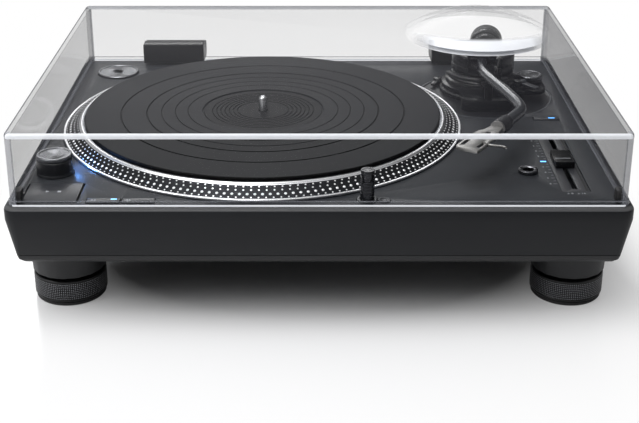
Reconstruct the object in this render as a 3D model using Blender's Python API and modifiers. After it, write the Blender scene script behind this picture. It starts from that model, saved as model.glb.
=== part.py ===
# Direct drive turntable with a clear hinged dust cover.
# Metres, +Z up, front towards -Y. The origin is on the floor under the middle of the whole object.
# Heights are measured from the deck surface unless a name says otherwise.

import math

import bmesh
import bpy
from mathutils import Matrix, Vector

for thing in list(bpy.data.objects):
    bpy.data.objects.remove(thing, do_unlink=True)

# Clearances
seat_gap = 0.0003
running_gap = 0.0005
overrun = 0.002
merge_distance = 0.00001
groove = 0.0014

# Plinth
plinth_width = 0.453
plinth_depth = 0.353
plinth_height = 0.0465
plinth_corner = 0.009
deck_edge_round = 0.0018
side_band = 0.0095
side_draw_in = 0.006
cabinet_wall = 0.006
deck_thickness = 0.012
rear_block = 0.036
base_height = 0.0078
base_edge_round = 0.0075
ground_clearance = 0.046
hinge_reach = 0.019

# Feet
foot_side_inset = 0.0345
foot_front_inset = 0.054
foot_back_inset = 0.048
collar_radius = 0.028
collar_flare = 0.003
collar_height = 0.0222
foot_ring_radius = 0.0277
foot_ring_height = 0.0178
foot_pad_radius = 0.0266
foot_pad_height = 0.003
foot_neck_radius = 0.010
foot_thread_radius = 0.005
foot_thread_length = 0.020

# Motor, bearing and platter
spindle_across_share = 0.39757
spindle_depth_share = 0.50708
platter_margin = 0.013
platter_lift = 0.0006
lip_height = 0.0016
lip_width = 0.0014
rim_width = 0.0145
rim_top = 0.0094
mat_gap = 0.0032
mat_seat = 0.0085
mat_thickness = 0.0035
mat_label_radius = 0.050
mat_label_drop = 0.0008
platter_web = 0.003
platter_hub_radius = 0.022
platter_hub_bore = 0.0042
spindle_radius = 0.0036
spindle_top = 0.0243
spindle_tip = 0.0025
rotor_radius = 0.019
rotor_thickness = 0.003
shaft_radius = 0.005
bearing_radius = 0.012
bearing_flange_share = 0.14458
bearing_flange_thickness = 0.003
bearing_depth = 0.015
motor_well_share = 0.53012
motor_well_depth = 0.021
motor_well_wall = 0.003
stator_share = 0.33735
stator_plate = 0.0025
coil_count = 9
coil_margin = 0.0035
coil_height = 0.006
magnet_inner_share = 0.36145
magnet_outer_share = 0.48193
magnet_height = 0.013

# Electronics
board_clearance = 0.0231
board_depth = 0.110
board_thickness = 0.0016
board_post_radius = 0.004
board_post_height = 0.005
board_post_inset = 0.010
supply_clearance = 0.0071
supply_depth = 0.100
supply_height = 0.024
supply_corner = 0.003
supply_from_left = 0.022
supply_from_front = 0.150

# Power switch and strobe lamp column
column_from_left = 0.0255
column_from_front = 0.070
column_radius = 0.0145
column_draw_in = 0.0007
column_height = 0.0118
column_spigot_radius = 0.006
column_spigot = 0.006
knob_height = 0.0034
knob_dish = 0.0008
knob_rim = 0.0022
knob_stem_radius = 0.003
knob_stem = 0.005
strobe_width = 0.0085
strobe_height = 0.0085
strobe_sill = 0.0022
strobe_depth = 0.004

# Buttons
button_pocket = 0.0085
button_proud = 0.0007
button_cap = 0.0032
button_skirt = 0.003
start_width = 0.0392
start_depth = 0.033
start_from_left = 0.0115
start_from_front = 0.0145
speed_width = 0.0234
speed_groove = 0.0008
speed_depth = 0.0078
speed_from_front = 0.0125
speed_from_left = 0.0585
speed_pitch = 0.0254
reset_width = 0.0208
reset_depth = 0.0072
reset_from_right = 0.032
reset_clearance = 0.00166
release_radius = 0.0046
release_from_light = 0.0121
release_from_front = 0.0175
release_proud = 0.0009

# Pop up stylus light
light_across_share = 0.0777
light_from_front = 0.0195
light_radius = 0.0051
light_height = 0.0235
light_length = 0.031
light_well_depth = 0.031
light_well_wall = 0.0025
light_collar_radius = 0.0078
light_collar_height = 0.0008
light_collar_sink = 0.003
lens_radius = 0.0026
lens_drop = 0.0035
lens_depth = 0.0018

# Pitch fader
fader_from_right = 0.0362
fader_width = 0.0206
fader_front = 0.034
fader_reset_gap = 0.0385
fader_sink = 0.0008
fader_plate = 0.002
fader_pocket = 0.0105
fader_slot = 0.0040
fader_slot_margin = 0.006
fader_knob_width = 0.0148
fader_knob_length = 0.0255
fader_knob_height = 0.0056
fader_knob_scoop = 0.0016
fader_knob_lip = 0.0030
fader_stem_width = 0.0030
fader_stem_length = 0.008
fader_stem_drop = 0.0075

# Spare headshell socket
stand_from_right = 0.0665
stand_from_front = 0.0700
stand_radius = 0.0075
stand_height = 0.0032
stand_spigot_radius = 0.0058
stand_spigot = 0.006
stand_bore_radius = 0.0042
stand_bore_depth = 0.0075

# Single record adaptor
adaptor_from_left = 0.0377
adaptor_from_front = 0.3145
adaptor_radius = 0.0191
adaptor_height = 0.0104
adaptor_sink = 0.0088
adaptor_bore = 0.0037
adaptor_dish = 0.0012
adaptor_bevel = 0.001

# Arm base and height adjustment
pivot_from_right = 0.07726
pivot_from_back = 0.08484
pivot_clearance = 0.049
arm_plate_radius = 0.060
arm_plate_forward_share = 0.3
arm_plate_thickness = 0.0036
arm_plate_sink = 0.0002
arm_plate_rim = 0.0025
arm_plate_floor = 0.0012
arm_guide_share = 0.35833
arm_guide_wall = 0.0045
arm_guide_depth = 0.0095
arm_opening_ledge = 0.012
height_ring_share = 0.63333
height_ring_height = 0.0056
platform_inset = 0.0015
platform_thickness = 0.0032
lobe_width = 0.045
lobe_left = -0.0017
lobe_front = 0.0412
step_up = 0.0012
lobe_depth = 0.019
lobe_round = 0.008
wing_width = 0.0335
wing_depth = 0.046
wing_right = 0.0372
wing_forward = 0.011
wing_round = 0.013
neck_inset = 0.0035
neck_step = 0.004
collar_step = 0.0025
turret_bottom = 0.020
lock_circle_share = 0.70833
lock_boss_share = 0.06667
lock_bearing_deg = 155.0
lock_boss_height = 0.0055
lock_handle = 0.0135
lock_handle_width = 0.004
lock_handle_thickness = 0.002
lock_pin_radius = 0.0016
lock_pin = 0.0025

# Anti-skating dial
skate_right = 0.0425
skate_forward = 0.004
skate_radius = 0.0113
skate_height = 0.0062
skate_dish = 0.0007
skate_rim = 0.0016
skate_pin_radius = 0.002
skate_pin = 0.002

# Cueing lever and arm lift
lift_inset = 0.0025
lift_piston_deg = 28.0
lift_from_deg = 32.0
lift_to_deg = -72.0
lift_housing_radius = 0.0058
lift_housing_top = 0.015
lift_piston_radius = 0.004
lift_piston_foot = 0.0095
lift_bar_bottom = 0.0176
lift_bar_width = 0.0042
lift_bar_height = 0.003
cue_inset = 0.0035
cue_forward = 0.022
cue_axis_height = 0.0128
cue_heading_deg = 34.0
cue_bracket_width = 0.005
cue_bracket_right = -0.0058
cue_bracket_length = 0.008
cue_hub_radius = 0.0032
cue_hub_length = 0.006
cue_handle_length = 0.0195
cue_handle_width = 0.0062
cue_handle_thickness = 0.0022
cue_pin_radius = 0.0014

# Arm rest and clamp
rest_along = 0.055
rest_post_radius = 0.0036
rest_shelf_thickness = 0.0025
rest_inner_reach = 0.0055
rest_wall_gap = 0.0009
rest_wall = 0.0038
rest_length = 0.011
rest_ear = 0.0025
clamp_hub_radius = 0.0021
clamp_pin_radius = 0.0008
clamp_reach = 0.0106
clamp_thickness = 0.0022
clamp_tilt_deg = 12.0

# Tonearm
arm_overhang = 0.015
shell_clearance = 0.038
offset_angle_deg = 22.0
arm_parked_deg = -10.2
pivot_height = 0.0290
turret_inset = 0.005
turret_height = 0.0164
turret_floor = 0.0018
turret_slot = 0.0246
turret_bridge = 0.0115
turret_roof = 0.0015
turret_post_radius = 0.008
turret_edge = 0.0012
turret_cap_radius = 0.0118
turret_cap_height = 0.0070
tube_radius = 0.0047
tube_end_share = 0.774
arm_line_shares = [
    (0.0, 0.0), (0.087, 0.0), (0.165, 0.0096), (0.226, 0.0304), (0.326, 0.0739), (0.426, 0.1174),
    (0.487, 0.1413), (0.539, 0.1565), (0.587, 0.1600), (0.630, 0.1474), (0.678, 0.1300), (0.726, 0.1107),
]
trunnion_radius = 0.0052
trunnion_length = 0.0222
trunnion_pin_radius = 0.0020
trunnion_pin_reach = 0.0205
stub_radius = 0.0050
stub_spare = 0.0055
insert_radius = 0.0085
insert_clearance = 0.003
insert_length = 0.0275
weight_radius = 0.0150
weight_length = 0.0215
weight_edge = 0.0015
force_ring_radius = 0.0125
force_ring_length = 0.0045
collar_nut_radius = 0.0063
collar_nut_length = 0.0150
socket_radius = 0.0042
socket_depth = 0.012
plug_radius = 0.0039
plug_length = 0.0112
shell_width = 0.0186
shell_length = 0.0545
shell_neck = 0.0095
shell_thickness = 0.0026
shell_shoulder = 0.016
shell_washer = 0.002
shell_washer_radius = 0.0062
shell_rise = 0.0008
shell_slot_pitch = 0.0127
shell_slot_width = 0.0029
shell_slot_length = 0.0125
shell_slot_from_end = 0.0125
shell_hole_radius = 0.0021
shell_hole_from_end = 0.032
finger_radius = 0.0010
finger_reach = 0.0165
finger_rise = 0.0030
finger_from_end = 0.019
finger_sweep = 0.006

# Dust cover and its hinges
lid_side_inset = 0.0045
lid_front_inset = 0.0065
lid_back_inset = 0.0020
lid_height = 0.056
lid_wall = 0.0035
lid_roof = 0.0040
lid_corner = 0.0045
lid_edge_round = 0.0028
lid_bead_height = 0.0042
lid_bead_width = 0.0011
dome_radius = 0.0655
dome_rise = 0.0205
dome_left = 0.007
dome_forward = 0.007
dome_root = 0.0055
hinge_from_side = 0.088
hinge_width = 0.0578
hinge_box_depth = 0.0115
hinge_box_bottom = 0.0022
hinge_box_top = 0.0210
hinge_axis_height = 0.0090
knuckle_radius = 0.0085
knuckle_middle = 0.026
knuckle_outer = 0.0155
hinge_pin_radius = 0.0025
socket_width = 0.046
socket_sink = 0.014
socket_depth_inside = 0.0145
socket_proud = 0.0012
hinge_edge = 0.0012

# Terminals at the back
phono_from_right = 0.104
phono_tub_width = 0.078
mains_from_left = 0.100
mains_tub_width = 0.046
tub_depth = 0.028
tub_height = 0.028
tub_wall = 0.0025
jack_radius = 0.0041
jack_length = 0.0095
jack_flange_radius = 0.0065
jack_flange = 0.0016
jack_bore_radius = 0.0017
jack_spacing = 0.020
post_radius = 0.0045
post_length = 0.0085
post_stem_radius = 0.002
inlet_width = 0.024
inlet_height = 0.0165
inlet_length = 0.013
inlet_wall = 0.0022
inlet_pin_radius = 0.0012
inlet_pin_spacing = 0.0085
inlet_corner = 0.0022

# Places worked out from the sizes above
overall_depth = plinth_depth + hinge_reach
front_y = -overall_depth / 2
back_y = front_y + plinth_depth
left_x = -plinth_width / 2
right_x = plinth_width / 2
deck_z = ground_clearance + plinth_height
seam_z = ground_clearance + base_height
foot_ring_z = foot_pad_height + seat_gap
collar_z = ground_clearance - collar_height

spindle_from_left = plinth_width * spindle_across_share
spindle_from_front = plinth_depth * spindle_depth_share
spindle = Vector((left_x + spindle_from_left, front_y + spindle_from_front, deck_z))
pivot = Vector((right_x - pivot_from_right, back_y - pivot_from_back, deck_z))
pivot_distance = (pivot - spindle).length
platter_radius = min(pivot_distance - pivot_clearance, spindle_from_front - platter_margin,
                     spindle_from_left - platter_margin)
rim_inner_radius = platter_radius - rim_width
mat_radius = rim_inner_radius - mat_gap
effective_length = min(pivot_distance + arm_overhang, plinth_depth - pivot_from_back - shell_clearance)
motor_well_radius = platter_radius * motor_well_share
magnet_outer_radius = platter_radius * magnet_outer_share
magnet_inner_radius = platter_radius * magnet_inner_share
stator_radius = platter_radius * stator_share
bearing_flange = platter_radius * bearing_flange_share
coil_circle = (stator_radius + bearing_flange) / 2
coil_radius = (stator_radius - bearing_flange) / 2 - coil_margin
supply_width = spindle_from_left - motor_well_radius - motor_well_wall - supply_clearance - supply_from_left
board_width = 2 * (spindle_from_left - supply_from_left - supply_width - board_clearance)
arm_plate_forward = arm_plate_radius * arm_plate_forward_share
arm_plate = pivot + Vector((0, -arm_plate_forward, 0))
arm_opening_radius = arm_plate_radius - arm_opening_ledge
height_ring_radius = arm_plate_radius * height_ring_share
platform_radius = height_ring_radius - platform_inset
neck_radius = platform_radius - neck_inset
arm_guide_radius = arm_plate_radius * arm_guide_share
lift_circle = platform_radius - lift_inset
cue_right = platform_radius - cue_inset
turret_radius = neck_radius - turret_inset
insert_start = neck_radius - collar_step + insert_clearance
stub_end = insert_start + insert_length + stub_spare
lock_boss_radius = arm_plate_radius * lock_boss_share
plate_front = plinth_depth - pivot_from_back - arm_plate_forward - arm_plate_radius
reset_from_front = plate_front - reset_clearance
fader_back = reset_from_front - fader_reset_gap
light_from_middle = plinth_width * light_across_share
release_from_middle = light_from_middle + release_from_light
hinge_centres = plinth_width - 2 * hinge_from_side
parked = math.radians(arm_parked_deg)
offset_angle = math.radians(offset_angle_deg)

platform_z = height_ring_height - arm_plate_floor + running_gap
platform_top = platform_z + platform_thickness
turret_top = turret_bottom + turret_height
arm_floor = -arm_plate_floor + seat_gap

parts = bpy.data.collections.new("turntable")
cutters = bpy.data.collections.new("turntable_cutters")
bpy.context.scene.collection.children.link(parts)
bpy.context.scene.collection.children.link(cutters)


def finish(name, colour, roughness, metallic=0.0, alpha=1.0):
    """A Principled material of one colour."""
    material = bpy.data.materials.new(name)
    material.use_nodes = True
    shader = material.node_tree.nodes["Principled BSDF"]
    shader.inputs["Base Color"].default_value = (*colour, 1.0)
    shader.inputs["Roughness"].default_value = roughness
    shader.inputs["Metallic"].default_value = metallic
    shader.inputs["Alpha"].default_value = alpha
    material.diffuse_color = (*colour, alpha)
    return material


def place(name, mesh, at, material, parent=None, turn=0.0, tilt=0.0):
    """Makes an object of a mesh: a part when it has a material, otherwise a cutter."""
    thing = bpy.data.objects.new(name, mesh)
    thing.location = at
    thing.rotation_euler = (tilt, 0, turn)
    thing.parent = parent
    if material is None:
        cutters.objects.link(thing)
        thing.hide_render = True
        thing.display_type = 'WIRE'
    else:
        mesh.materials.append(material)
        parts.objects.link(thing)
    return thing


def to_mesh(name, bm):
    """Writes a bmesh to a new mesh with its faces pointing out."""
    bmesh.ops.recalc_face_normals(bm, faces=bm.faces)
    mesh = bpy.data.meshes.new(name)
    bm.to_mesh(mesh)
    bm.free()
    return mesh


def turned(name, profile, at, material=None, segments=24, parent=None, tilt=0.0, ring=False):
    """A turned shape. The profile runs from the top of the axis, down the outer side, to its foot.
    A ring's profile starts at its inner top edge and comes back up the bore."""
    bm = bmesh.new()
    verts = [bm.verts.new((radius, 0, height)) for radius, height in profile]
    ends = verts[1:] + verts[:1] if ring else verts[1:]
    for first, second in zip(verts, ends):
        bm.edges.new((first, second))
    mesh = bpy.data.meshes.new(name)
    bm.to_mesh(mesh)
    bm.free()
    thing = place(name, mesh, at, material, parent, tilt=tilt)
    screw = thing.modifiers.new("turn", 'SCREW')
    screw.steps = segments
    screw.render_steps = segments
    screw.use_merge_vertices = True
    screw.merge_threshold = merge_distance
    screw.use_smooth_shade = True
    return thing


def block(name, size, at, material=None, round_radius=0.0, parent=None, turn=0.0, steps=4):
    """A box standing on its location, with its upright edges rounded."""
    bm = bmesh.new()
    bmesh.ops.create_cube(bm, size=1.0)
    bmesh.ops.scale(bm, vec=size, verts=bm.verts)
    bmesh.ops.translate(bm, vec=(0, 0, size[2] / 2), verts=bm.verts)
    if round_radius > 0:
        upright = [edge for edge in bm.edges if abs(edge.verts[0].co.z - edge.verts[1].co.z) > size[2] / 2]
        bmesh.ops.bevel(bm, geom=upright, offset=round_radius, segments=steps, profile=0.5,
                        affect='EDGES', material=-1, clamp_overlap=True)
    return place(name, to_mesh(name, bm), at, material, parent, turn)


def rod(name, radius, length, at, material=None, segments=12, axis='Z', parent=None, turn=0.0):
    """A cylinder from its location along an axis."""
    bm = bmesh.new()
    bmesh.ops.create_cone(bm, cap_ends=True, segments=segments, radius1=radius, radius2=radius, depth=length)
    bmesh.ops.translate(bm, vec=(0, 0, length / 2), verts=bm.verts)
    if axis == 'X':
        bmesh.ops.rotate(bm, verts=bm.verts, matrix=Matrix.Rotation(math.pi / 2, 3, 'Y'))
    if axis == 'Y':
        bmesh.ops.rotate(bm, verts=bm.verts, matrix=Matrix.Rotation(-math.pi / 2, 3, 'X'))
    return place(name, to_mesh(name, bm), at, material, parent, turn)


def rounded_outline(width, depth, radius, steps=4):
    """Corner points of a rounded rectangle centred on zero, anticlockwise."""
    points = []
    for corner in range(4):
        side_x = 1 if corner in (0, 3) else -1
        side_y = 1 if corner in (0, 1) else -1
        centre = Vector((side_x * (width / 2 - radius), side_y * (depth / 2 - radius)))
        for step in range(steps + 1):
            angle = math.pi / 2 * (corner + step / steps)
            points.append(centre + radius * Vector((math.cos(angle), math.sin(angle))))
    return points


def lofted(name, width, depth, corner, levels, at, material=None):
    """A rounded rectangle lofted through levels of (inset, height), top to bottom."""
    bm = bmesh.new()
    loops = []
    for inset, height in levels:
        outline = rounded_outline(width - 2 * inset, depth - 2 * inset, max(corner - inset, corner / 3))
        verts = [bm.verts.new((point.x, point.y, height)) for point in outline]
        loops.append([bm.edges.new(pair) for pair in zip(verts, verts[1:] + verts[:1])])
    for upper, lower in zip(loops, loops[1:]):
        bmesh.ops.bridge_loops(bm, edges=upper + lower)
    bmesh.ops.edgeloop_fill(bm, edges=loops[0])
    bmesh.ops.edgeloop_fill(bm, edges=loops[-1])
    return place(name, to_mesh(name, bm), at, material)


def boolean(thing, operation, *tools):
    """Cuts, joins or meets a part with each tool in turn, exactly."""
    for tool in tools:
        step = thing.modifiers.new(operation.lower() + "_" + tool.name, 'BOOLEAN')
        step.operation = operation
        step.object = tool
        step.solver = 'EXACT'


def edge_round(thing, width, steps=2, angle=40.0):
    """Rounds the sharp edges of a part."""
    bevel = thing.modifiers.new("edges", 'BEVEL')
    bevel.width = width
    bevel.segments = steps
    bevel.limit_method = 'ANGLE'
    bevel.angle_limit = math.radians(angle)
    bevel.use_clamp_overlap = True


def arc(centre_radius, centre_height, radius, start_angle, end_angle, steps):
    """Points of a profile's arc, with angles measured from straight up towards the outside."""
    points = []
    for step in range(steps + 1):
        angle = start_angle + (end_angle - start_angle) * step / steps
        points.append((centre_radius + radius * math.sin(angle), centre_height + radius * math.cos(angle)))
    return points


def empty(name, at, turn, parent=None):
    """An unseen carrier whose axes the pieces on it follow."""
    carrier = bpy.data.objects.new(name, None)
    carrier.location = at
    carrier.rotation_euler = (0, 0, turn)
    carrier.parent = parent
    parts.objects.link(carrier)
    return carrier


def tube(name, points, radius, at, material=None, parent=None, resolution=2, sides=3):
    """A round tube along a smooth line through points, made a mesh with its caps welded on."""
    curve = bpy.data.curves.new(name, 'CURVE')
    curve.dimensions = '3D'
    curve.twist_mode = 'Z_UP'
    curve.bevel_depth = radius
    curve.bevel_resolution = sides
    curve.resolution_u = resolution
    curve.use_fill_caps = True
    spline = curve.splines.new('BEZIER')
    spline.bezier_points.add(len(points) - 1)
    for knot, point in zip(spline.bezier_points, points):
        knot.co = point
        knot.handle_left_type = 'AUTO'
        knot.handle_right_type = 'AUTO'
    line = place(name + "_line", curve, at, None, parent)
    bpy.context.view_layer.update()
    evaluated = line.evaluated_get(bpy.context.evaluated_depsgraph_get())
    mesh = bpy.data.meshes.new_from_object(evaluated)
    bpy.data.objects.remove(line, do_unlink=True)
    bm = bmesh.new()
    bm.from_mesh(mesh)
    bmesh.ops.remove_doubles(bm, verts=bm.verts, dist=merge_distance)
    bmesh.ops.recalc_face_normals(bm, faces=bm.faces)
    bm.to_mesh(mesh)
    bm.free()
    return place(name, mesh, at, material, parent)


def deck_place(from_left, from_front, height=0.0):
    """A point of the deck by its distances from the plinth's left side and front."""
    return Vector((left_x + from_left, front_y + from_front, deck_z + height))


def make_plinth(finishes):
    """The cast cabinet and the base tray under it, with collars for the feet."""
    top = plinth_height - base_height
    levels = [
        (deck_edge_round, 0),
        (deck_edge_round / 3, -deck_edge_round / 3),
        (0, -deck_edge_round),
        (0, -side_band),
        (side_draw_in, -top),
    ]
    at = Vector((0, front_y + plinth_depth / 2, deck_z))
    cabinet = lofted("cabinet", plinth_width, plinth_depth, plinth_corner, levels, at, finishes["satin_black"])

    inset = cabinet_wall + side_draw_in
    hollow_depth = plinth_depth - inset - rear_block
    hollow_size = (plinth_width - 2 * inset, hollow_depth, top - deck_thickness + overrun)
    hollow_at = Vector((0, front_y + inset + hollow_depth / 2, seam_z - overrun))
    hollow = block("hollow", hollow_size, hollow_at, round_radius=plinth_corner)
    well_keep = rod("well_keep", motor_well_radius + motor_well_wall, motor_well_depth + motor_well_wall,
                    spindle - Vector((0, 0, motor_well_depth + motor_well_wall)), segments=20)
    light = Vector((light_from_middle, front_y + light_from_front, deck_z))
    light_keep = rod("light_keep", light_radius + running_gap + light_well_wall, light_well_depth + light_well_wall,
                     light - Vector((0, 0, light_well_depth + light_well_wall)), segments=10)
    boolean(hollow, 'DIFFERENCE', well_keep, light_keep)
    boolean(cabinet, 'DIFFERENCE', hollow)

    well = rod("motor_well", motor_well_radius, motor_well_depth + overrun,
               spindle - Vector((0, 0, motor_well_depth)), segments=24)
    bore = rod("bearing_hole", bearing_radius + seat_gap, motor_well_depth + 2 * motor_well_wall + overrun,
               spindle - Vector((0, 0, motor_well_depth + 2 * motor_well_wall)), segments=16)
    plate_hole = rod("arm_plate_seat", arm_plate_radius + seat_gap, arm_plate_sink + arm_plate_thickness + seat_gap + overrun,
                     arm_plate - Vector((0, 0, arm_plate_sink + arm_plate_thickness + seat_gap)), segments=32)
    guide_hole = rod("arm_opening", arm_opening_radius, deck_thickness + 2 * overrun,
                     arm_plate - Vector((0, 0, deck_thickness + overrun)), segments=16)
    boolean(cabinet, 'DIFFERENCE', well, bore, plate_hole, guide_hole)
    return cabinet


def pocket(name, size_x, size_y, at, depth, gap, corner=0.0):
    """A cutter for a rectangular pocket sunk into the deck."""
    size = (size_x + 2 * gap, size_y + 2 * gap, depth + overrun)
    return block(name, size, at - Vector((0, 0, depth)), round_radius=corner, steps=2)


def make_base(finishes):
    """The lower tray that closes the cabinet, with a collar above each foot and posts for the board."""
    levels = [(side_draw_in, base_height - seat_gap)]
    for side, height in arc(0, 0, base_edge_round, math.pi / 2, 0, 3):
        levels.append((side_draw_in + base_edge_round - side, base_edge_round - height))
    at = Vector((0, front_y + plinth_depth / 2, ground_clearance))
    base = lofted("base", plinth_width, plinth_depth, plinth_corner, levels, at, finishes["satin_black"])
    for index, (foot_x, foot_y) in enumerate(foot_places()):
        spread = collar_radius + collar_flare
        profile = [
            (0, base_height / 2),
            (spread, base_height / 2),
            (spread, 0),
            (collar_radius + collar_flare / 4, -collar_height / 2),
            (collar_radius, -collar_height),
            (0, -collar_height),
        ]
        foot_at = Vector((foot_x, foot_y, ground_clearance))
        collar = turned(f"collar_{index + 1}", profile, foot_at, segments=16)
        boolean(base, 'UNION', collar)
    for index, (foot_x, foot_y) in enumerate(foot_places()):
        foot_at = Vector((foot_x, foot_y, collar_z - overrun))
        hole = rod(f"foot_hole_{index + 1}", foot_thread_radius + running_gap,
                   foot_thread_length + overrun + seat_gap, foot_at, segments=8)
        boolean(base, 'DIFFERENCE', hole)
    for index, (post_x, post_y) in enumerate(board_post_places()):
        post_at = Vector((post_x, post_y, seam_z - base_height / 2))
        post = rod(f"board_post_{index + 1}", board_post_radius, board_post_height + base_height / 2,
                   post_at, segments=8)
        boolean(base, 'UNION', post)
    return base


def foot_places():
    """Plan positions of the four feet: front left, front right, back left, back right."""
    places = []
    for foot_y in (front_y + foot_front_inset, back_y - foot_back_inset):
        for side in (-1, 1):
            places.append((side * (plinth_width / 2 - foot_side_inset), foot_y))
    return places


def board_post_places():
    """Plan positions of the posts that carry the circuit board."""
    places = []
    for side_x in (-1, 1):
        for side_y in (-1, 1):
            places.append((spindle.x + side_x * (board_width / 2 - board_post_inset),
                           spindle.y + side_y * (board_depth / 2 - board_post_inset)))
    return places


def make_feet(finishes):
    """Levelling feet: a threaded foot with its pad, and the knurled ring that turns on its neck."""
    for index, (foot_x, foot_y) in enumerate(foot_places()):
        at = Vector((foot_x, foot_y, 0))
        neck_top = foot_ring_z + foot_ring_height + seat_gap
        thread_top = collar_z + foot_thread_length
        edge = foot_pad_height / 3
        profile = [
            (0, thread_top),
            (foot_thread_radius, thread_top),
            (foot_thread_radius, neck_top),
            (foot_neck_radius, neck_top),
            (foot_neck_radius, foot_pad_height),
            (foot_pad_radius, foot_pad_height),
            (foot_pad_radius, edge),
            (foot_pad_radius - edge, 0),
            (0, 0),
        ]
        turned(f"foot_stud_{index + 1}", profile, at, finishes["rubber"], segments=16)
        bore = foot_neck_radius + seat_gap
        top = foot_ring_height
        ring_edge = foot_pad_height / 4
        ring = [
            (bore, top),
            (foot_ring_radius - ring_edge, top),
            (foot_ring_radius, top - ring_edge),
            (foot_ring_radius, ring_edge),
            (foot_ring_radius - ring_edge, 0),
            (bore, 0),
        ]
        turned(f"foot_ring_{index + 1}", ring, at + Vector((0, 0, foot_ring_z)), finishes["black_metal"],
               segments=16, ring=True)


def make_motor(finishes):
    """Bearing housing, coil ring, and the driver board under the motor well."""
    well_floor = -motor_well_depth
    flange_top = well_floor + seat_gap + bearing_flange_thickness
    bore = shaft_radius + seat_gap
    foot = well_floor - motor_well_wall - bearing_depth + bearing_flange_thickness
    housing = [
        (0, foot + bearing_flange_thickness),
        (bore, foot + bearing_flange_thickness),
        (bore, flange_top),
        (bearing_flange, flange_top),
        (bearing_flange, well_floor + seat_gap),
        (bearing_radius, well_floor + seat_gap),
        (bearing_radius, foot),
        (0, foot),
    ]
    turned("bearing_housing", housing, spindle, finishes["steel"], segments=16)

    plate_top = well_floor + seat_gap + stator_plate
    bore = bearing_flange + running_gap
    plate = [
        (bore, plate_top),
        (stator_radius, plate_top),
        (stator_radius, well_floor + seat_gap),
        (bore, well_floor + seat_gap),
    ]
    stator = turned("motor_stator", plate, spindle, finishes["copper"], segments=20, ring=True)
    for index in range(coil_count):
        angle = 2 * math.pi * index / coil_count
        coil_at = spindle + Vector((coil_circle * math.cos(angle), coil_circle * math.sin(angle), plate_top - seat_gap))
        coil = rod(f"coil_{index + 1}", coil_radius, coil_height, coil_at, segments=8)
        boolean(stator, 'UNION', coil)

    board_at = Vector((spindle.x, spindle.y, seam_z + board_post_height + seat_gap))
    board = block("circuit_board", (board_width, board_depth, board_thickness), board_at, finishes["board"])
    hole = rod("board_hole", bearing_radius + running_gap, board_thickness + 2 * overrun,
               board_at - Vector((0, 0, overrun)), segments=16)
    boolean(board, 'DIFFERENCE', hole)

    supply_at = Vector((left_x + supply_from_left + supply_width / 2, front_y + supply_from_front + supply_depth / 2,
                        seam_z + seat_gap))
    block("power_supply", (supply_width, supply_depth, supply_height), supply_at, finishes["steel"],
          round_radius=supply_corner)


def make_platter(finishes):
    """The platter with its sloping rim, the mat, the spindle with its flange, and the rotor magnet."""
    slope_foot = platter_lift + lip_height - lip_height / 4
    crown = platter_radius - lip_width
    inner = rim_inner_radius - lip_width
    profile = [
        (platter_hub_bore, mat_seat),
        (mat_radius + running_gap, mat_seat),
        (mat_radius + running_gap, rim_top),
        (inner + lip_width, rim_top),
        (crown, slope_foot),
        (crown, platter_lift + lip_height),
        (platter_radius, platter_lift + lip_height),
        (platter_radius, platter_lift),
        (platter_radius - 2 * platter_web, platter_lift),
        (rim_inner_radius - platter_web, mat_seat - platter_web),
        (platter_hub_radius, mat_seat - platter_web),
        (platter_hub_radius, platter_lift),
        (platter_hub_bore, platter_lift),
    ]
    turned("platter", profile, spindle, finishes["cast_rim"], segments=40, ring=True)

    mat_top = mat_seat + seat_gap + mat_thickness
    mat_edge = mat_thickness / 4
    mat = [
        (platter_hub_bore, mat_top - mat_label_drop),
        (mat_label_radius, mat_top - mat_label_drop),
        (mat_label_radius + mat_label_drop, mat_top),
        (mat_radius - mat_edge, mat_top),
        (mat_radius, mat_top - mat_edge),
        (mat_radius, mat_seat + seat_gap),
        (platter_hub_bore, mat_seat + seat_gap),
    ]
    turned("platter_mat", mat, spindle, finishes["rubber"], segments=40, ring=True)

    flange_top = platter_lift - seat_gap
    shaft_foot = -motor_well_depth - motor_well_wall - bearing_depth + 2 * bearing_flange_thickness + seat_gap
    shaft = [
        (0, spindle_top),
        (spindle_radius / 2, spindle_top - spindle_tip / 6),
        (spindle_radius, spindle_top - spindle_tip),
        (spindle_radius, flange_top),
        (rotor_radius, flange_top),
        (rotor_radius, flange_top - rotor_thickness),
        (shaft_radius, flange_top - rotor_thickness),
        (shaft_radius, shaft_foot),
        (0, shaft_foot),
    ]
    turned("spindle", shaft, spindle, finishes["steel"], segments=12)

    magnet_top = mat_seat - platter_web - seat_gap
    magnet = [
        (magnet_inner_radius, magnet_top),
        (magnet_outer_radius, magnet_top),
        (magnet_outer_radius, magnet_top - magnet_height),
        (magnet_inner_radius, magnet_top - magnet_height),
    ]
    turned("rotor_magnet", magnet, spindle, finishes["black_metal"], segments=20, ring=True)


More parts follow.
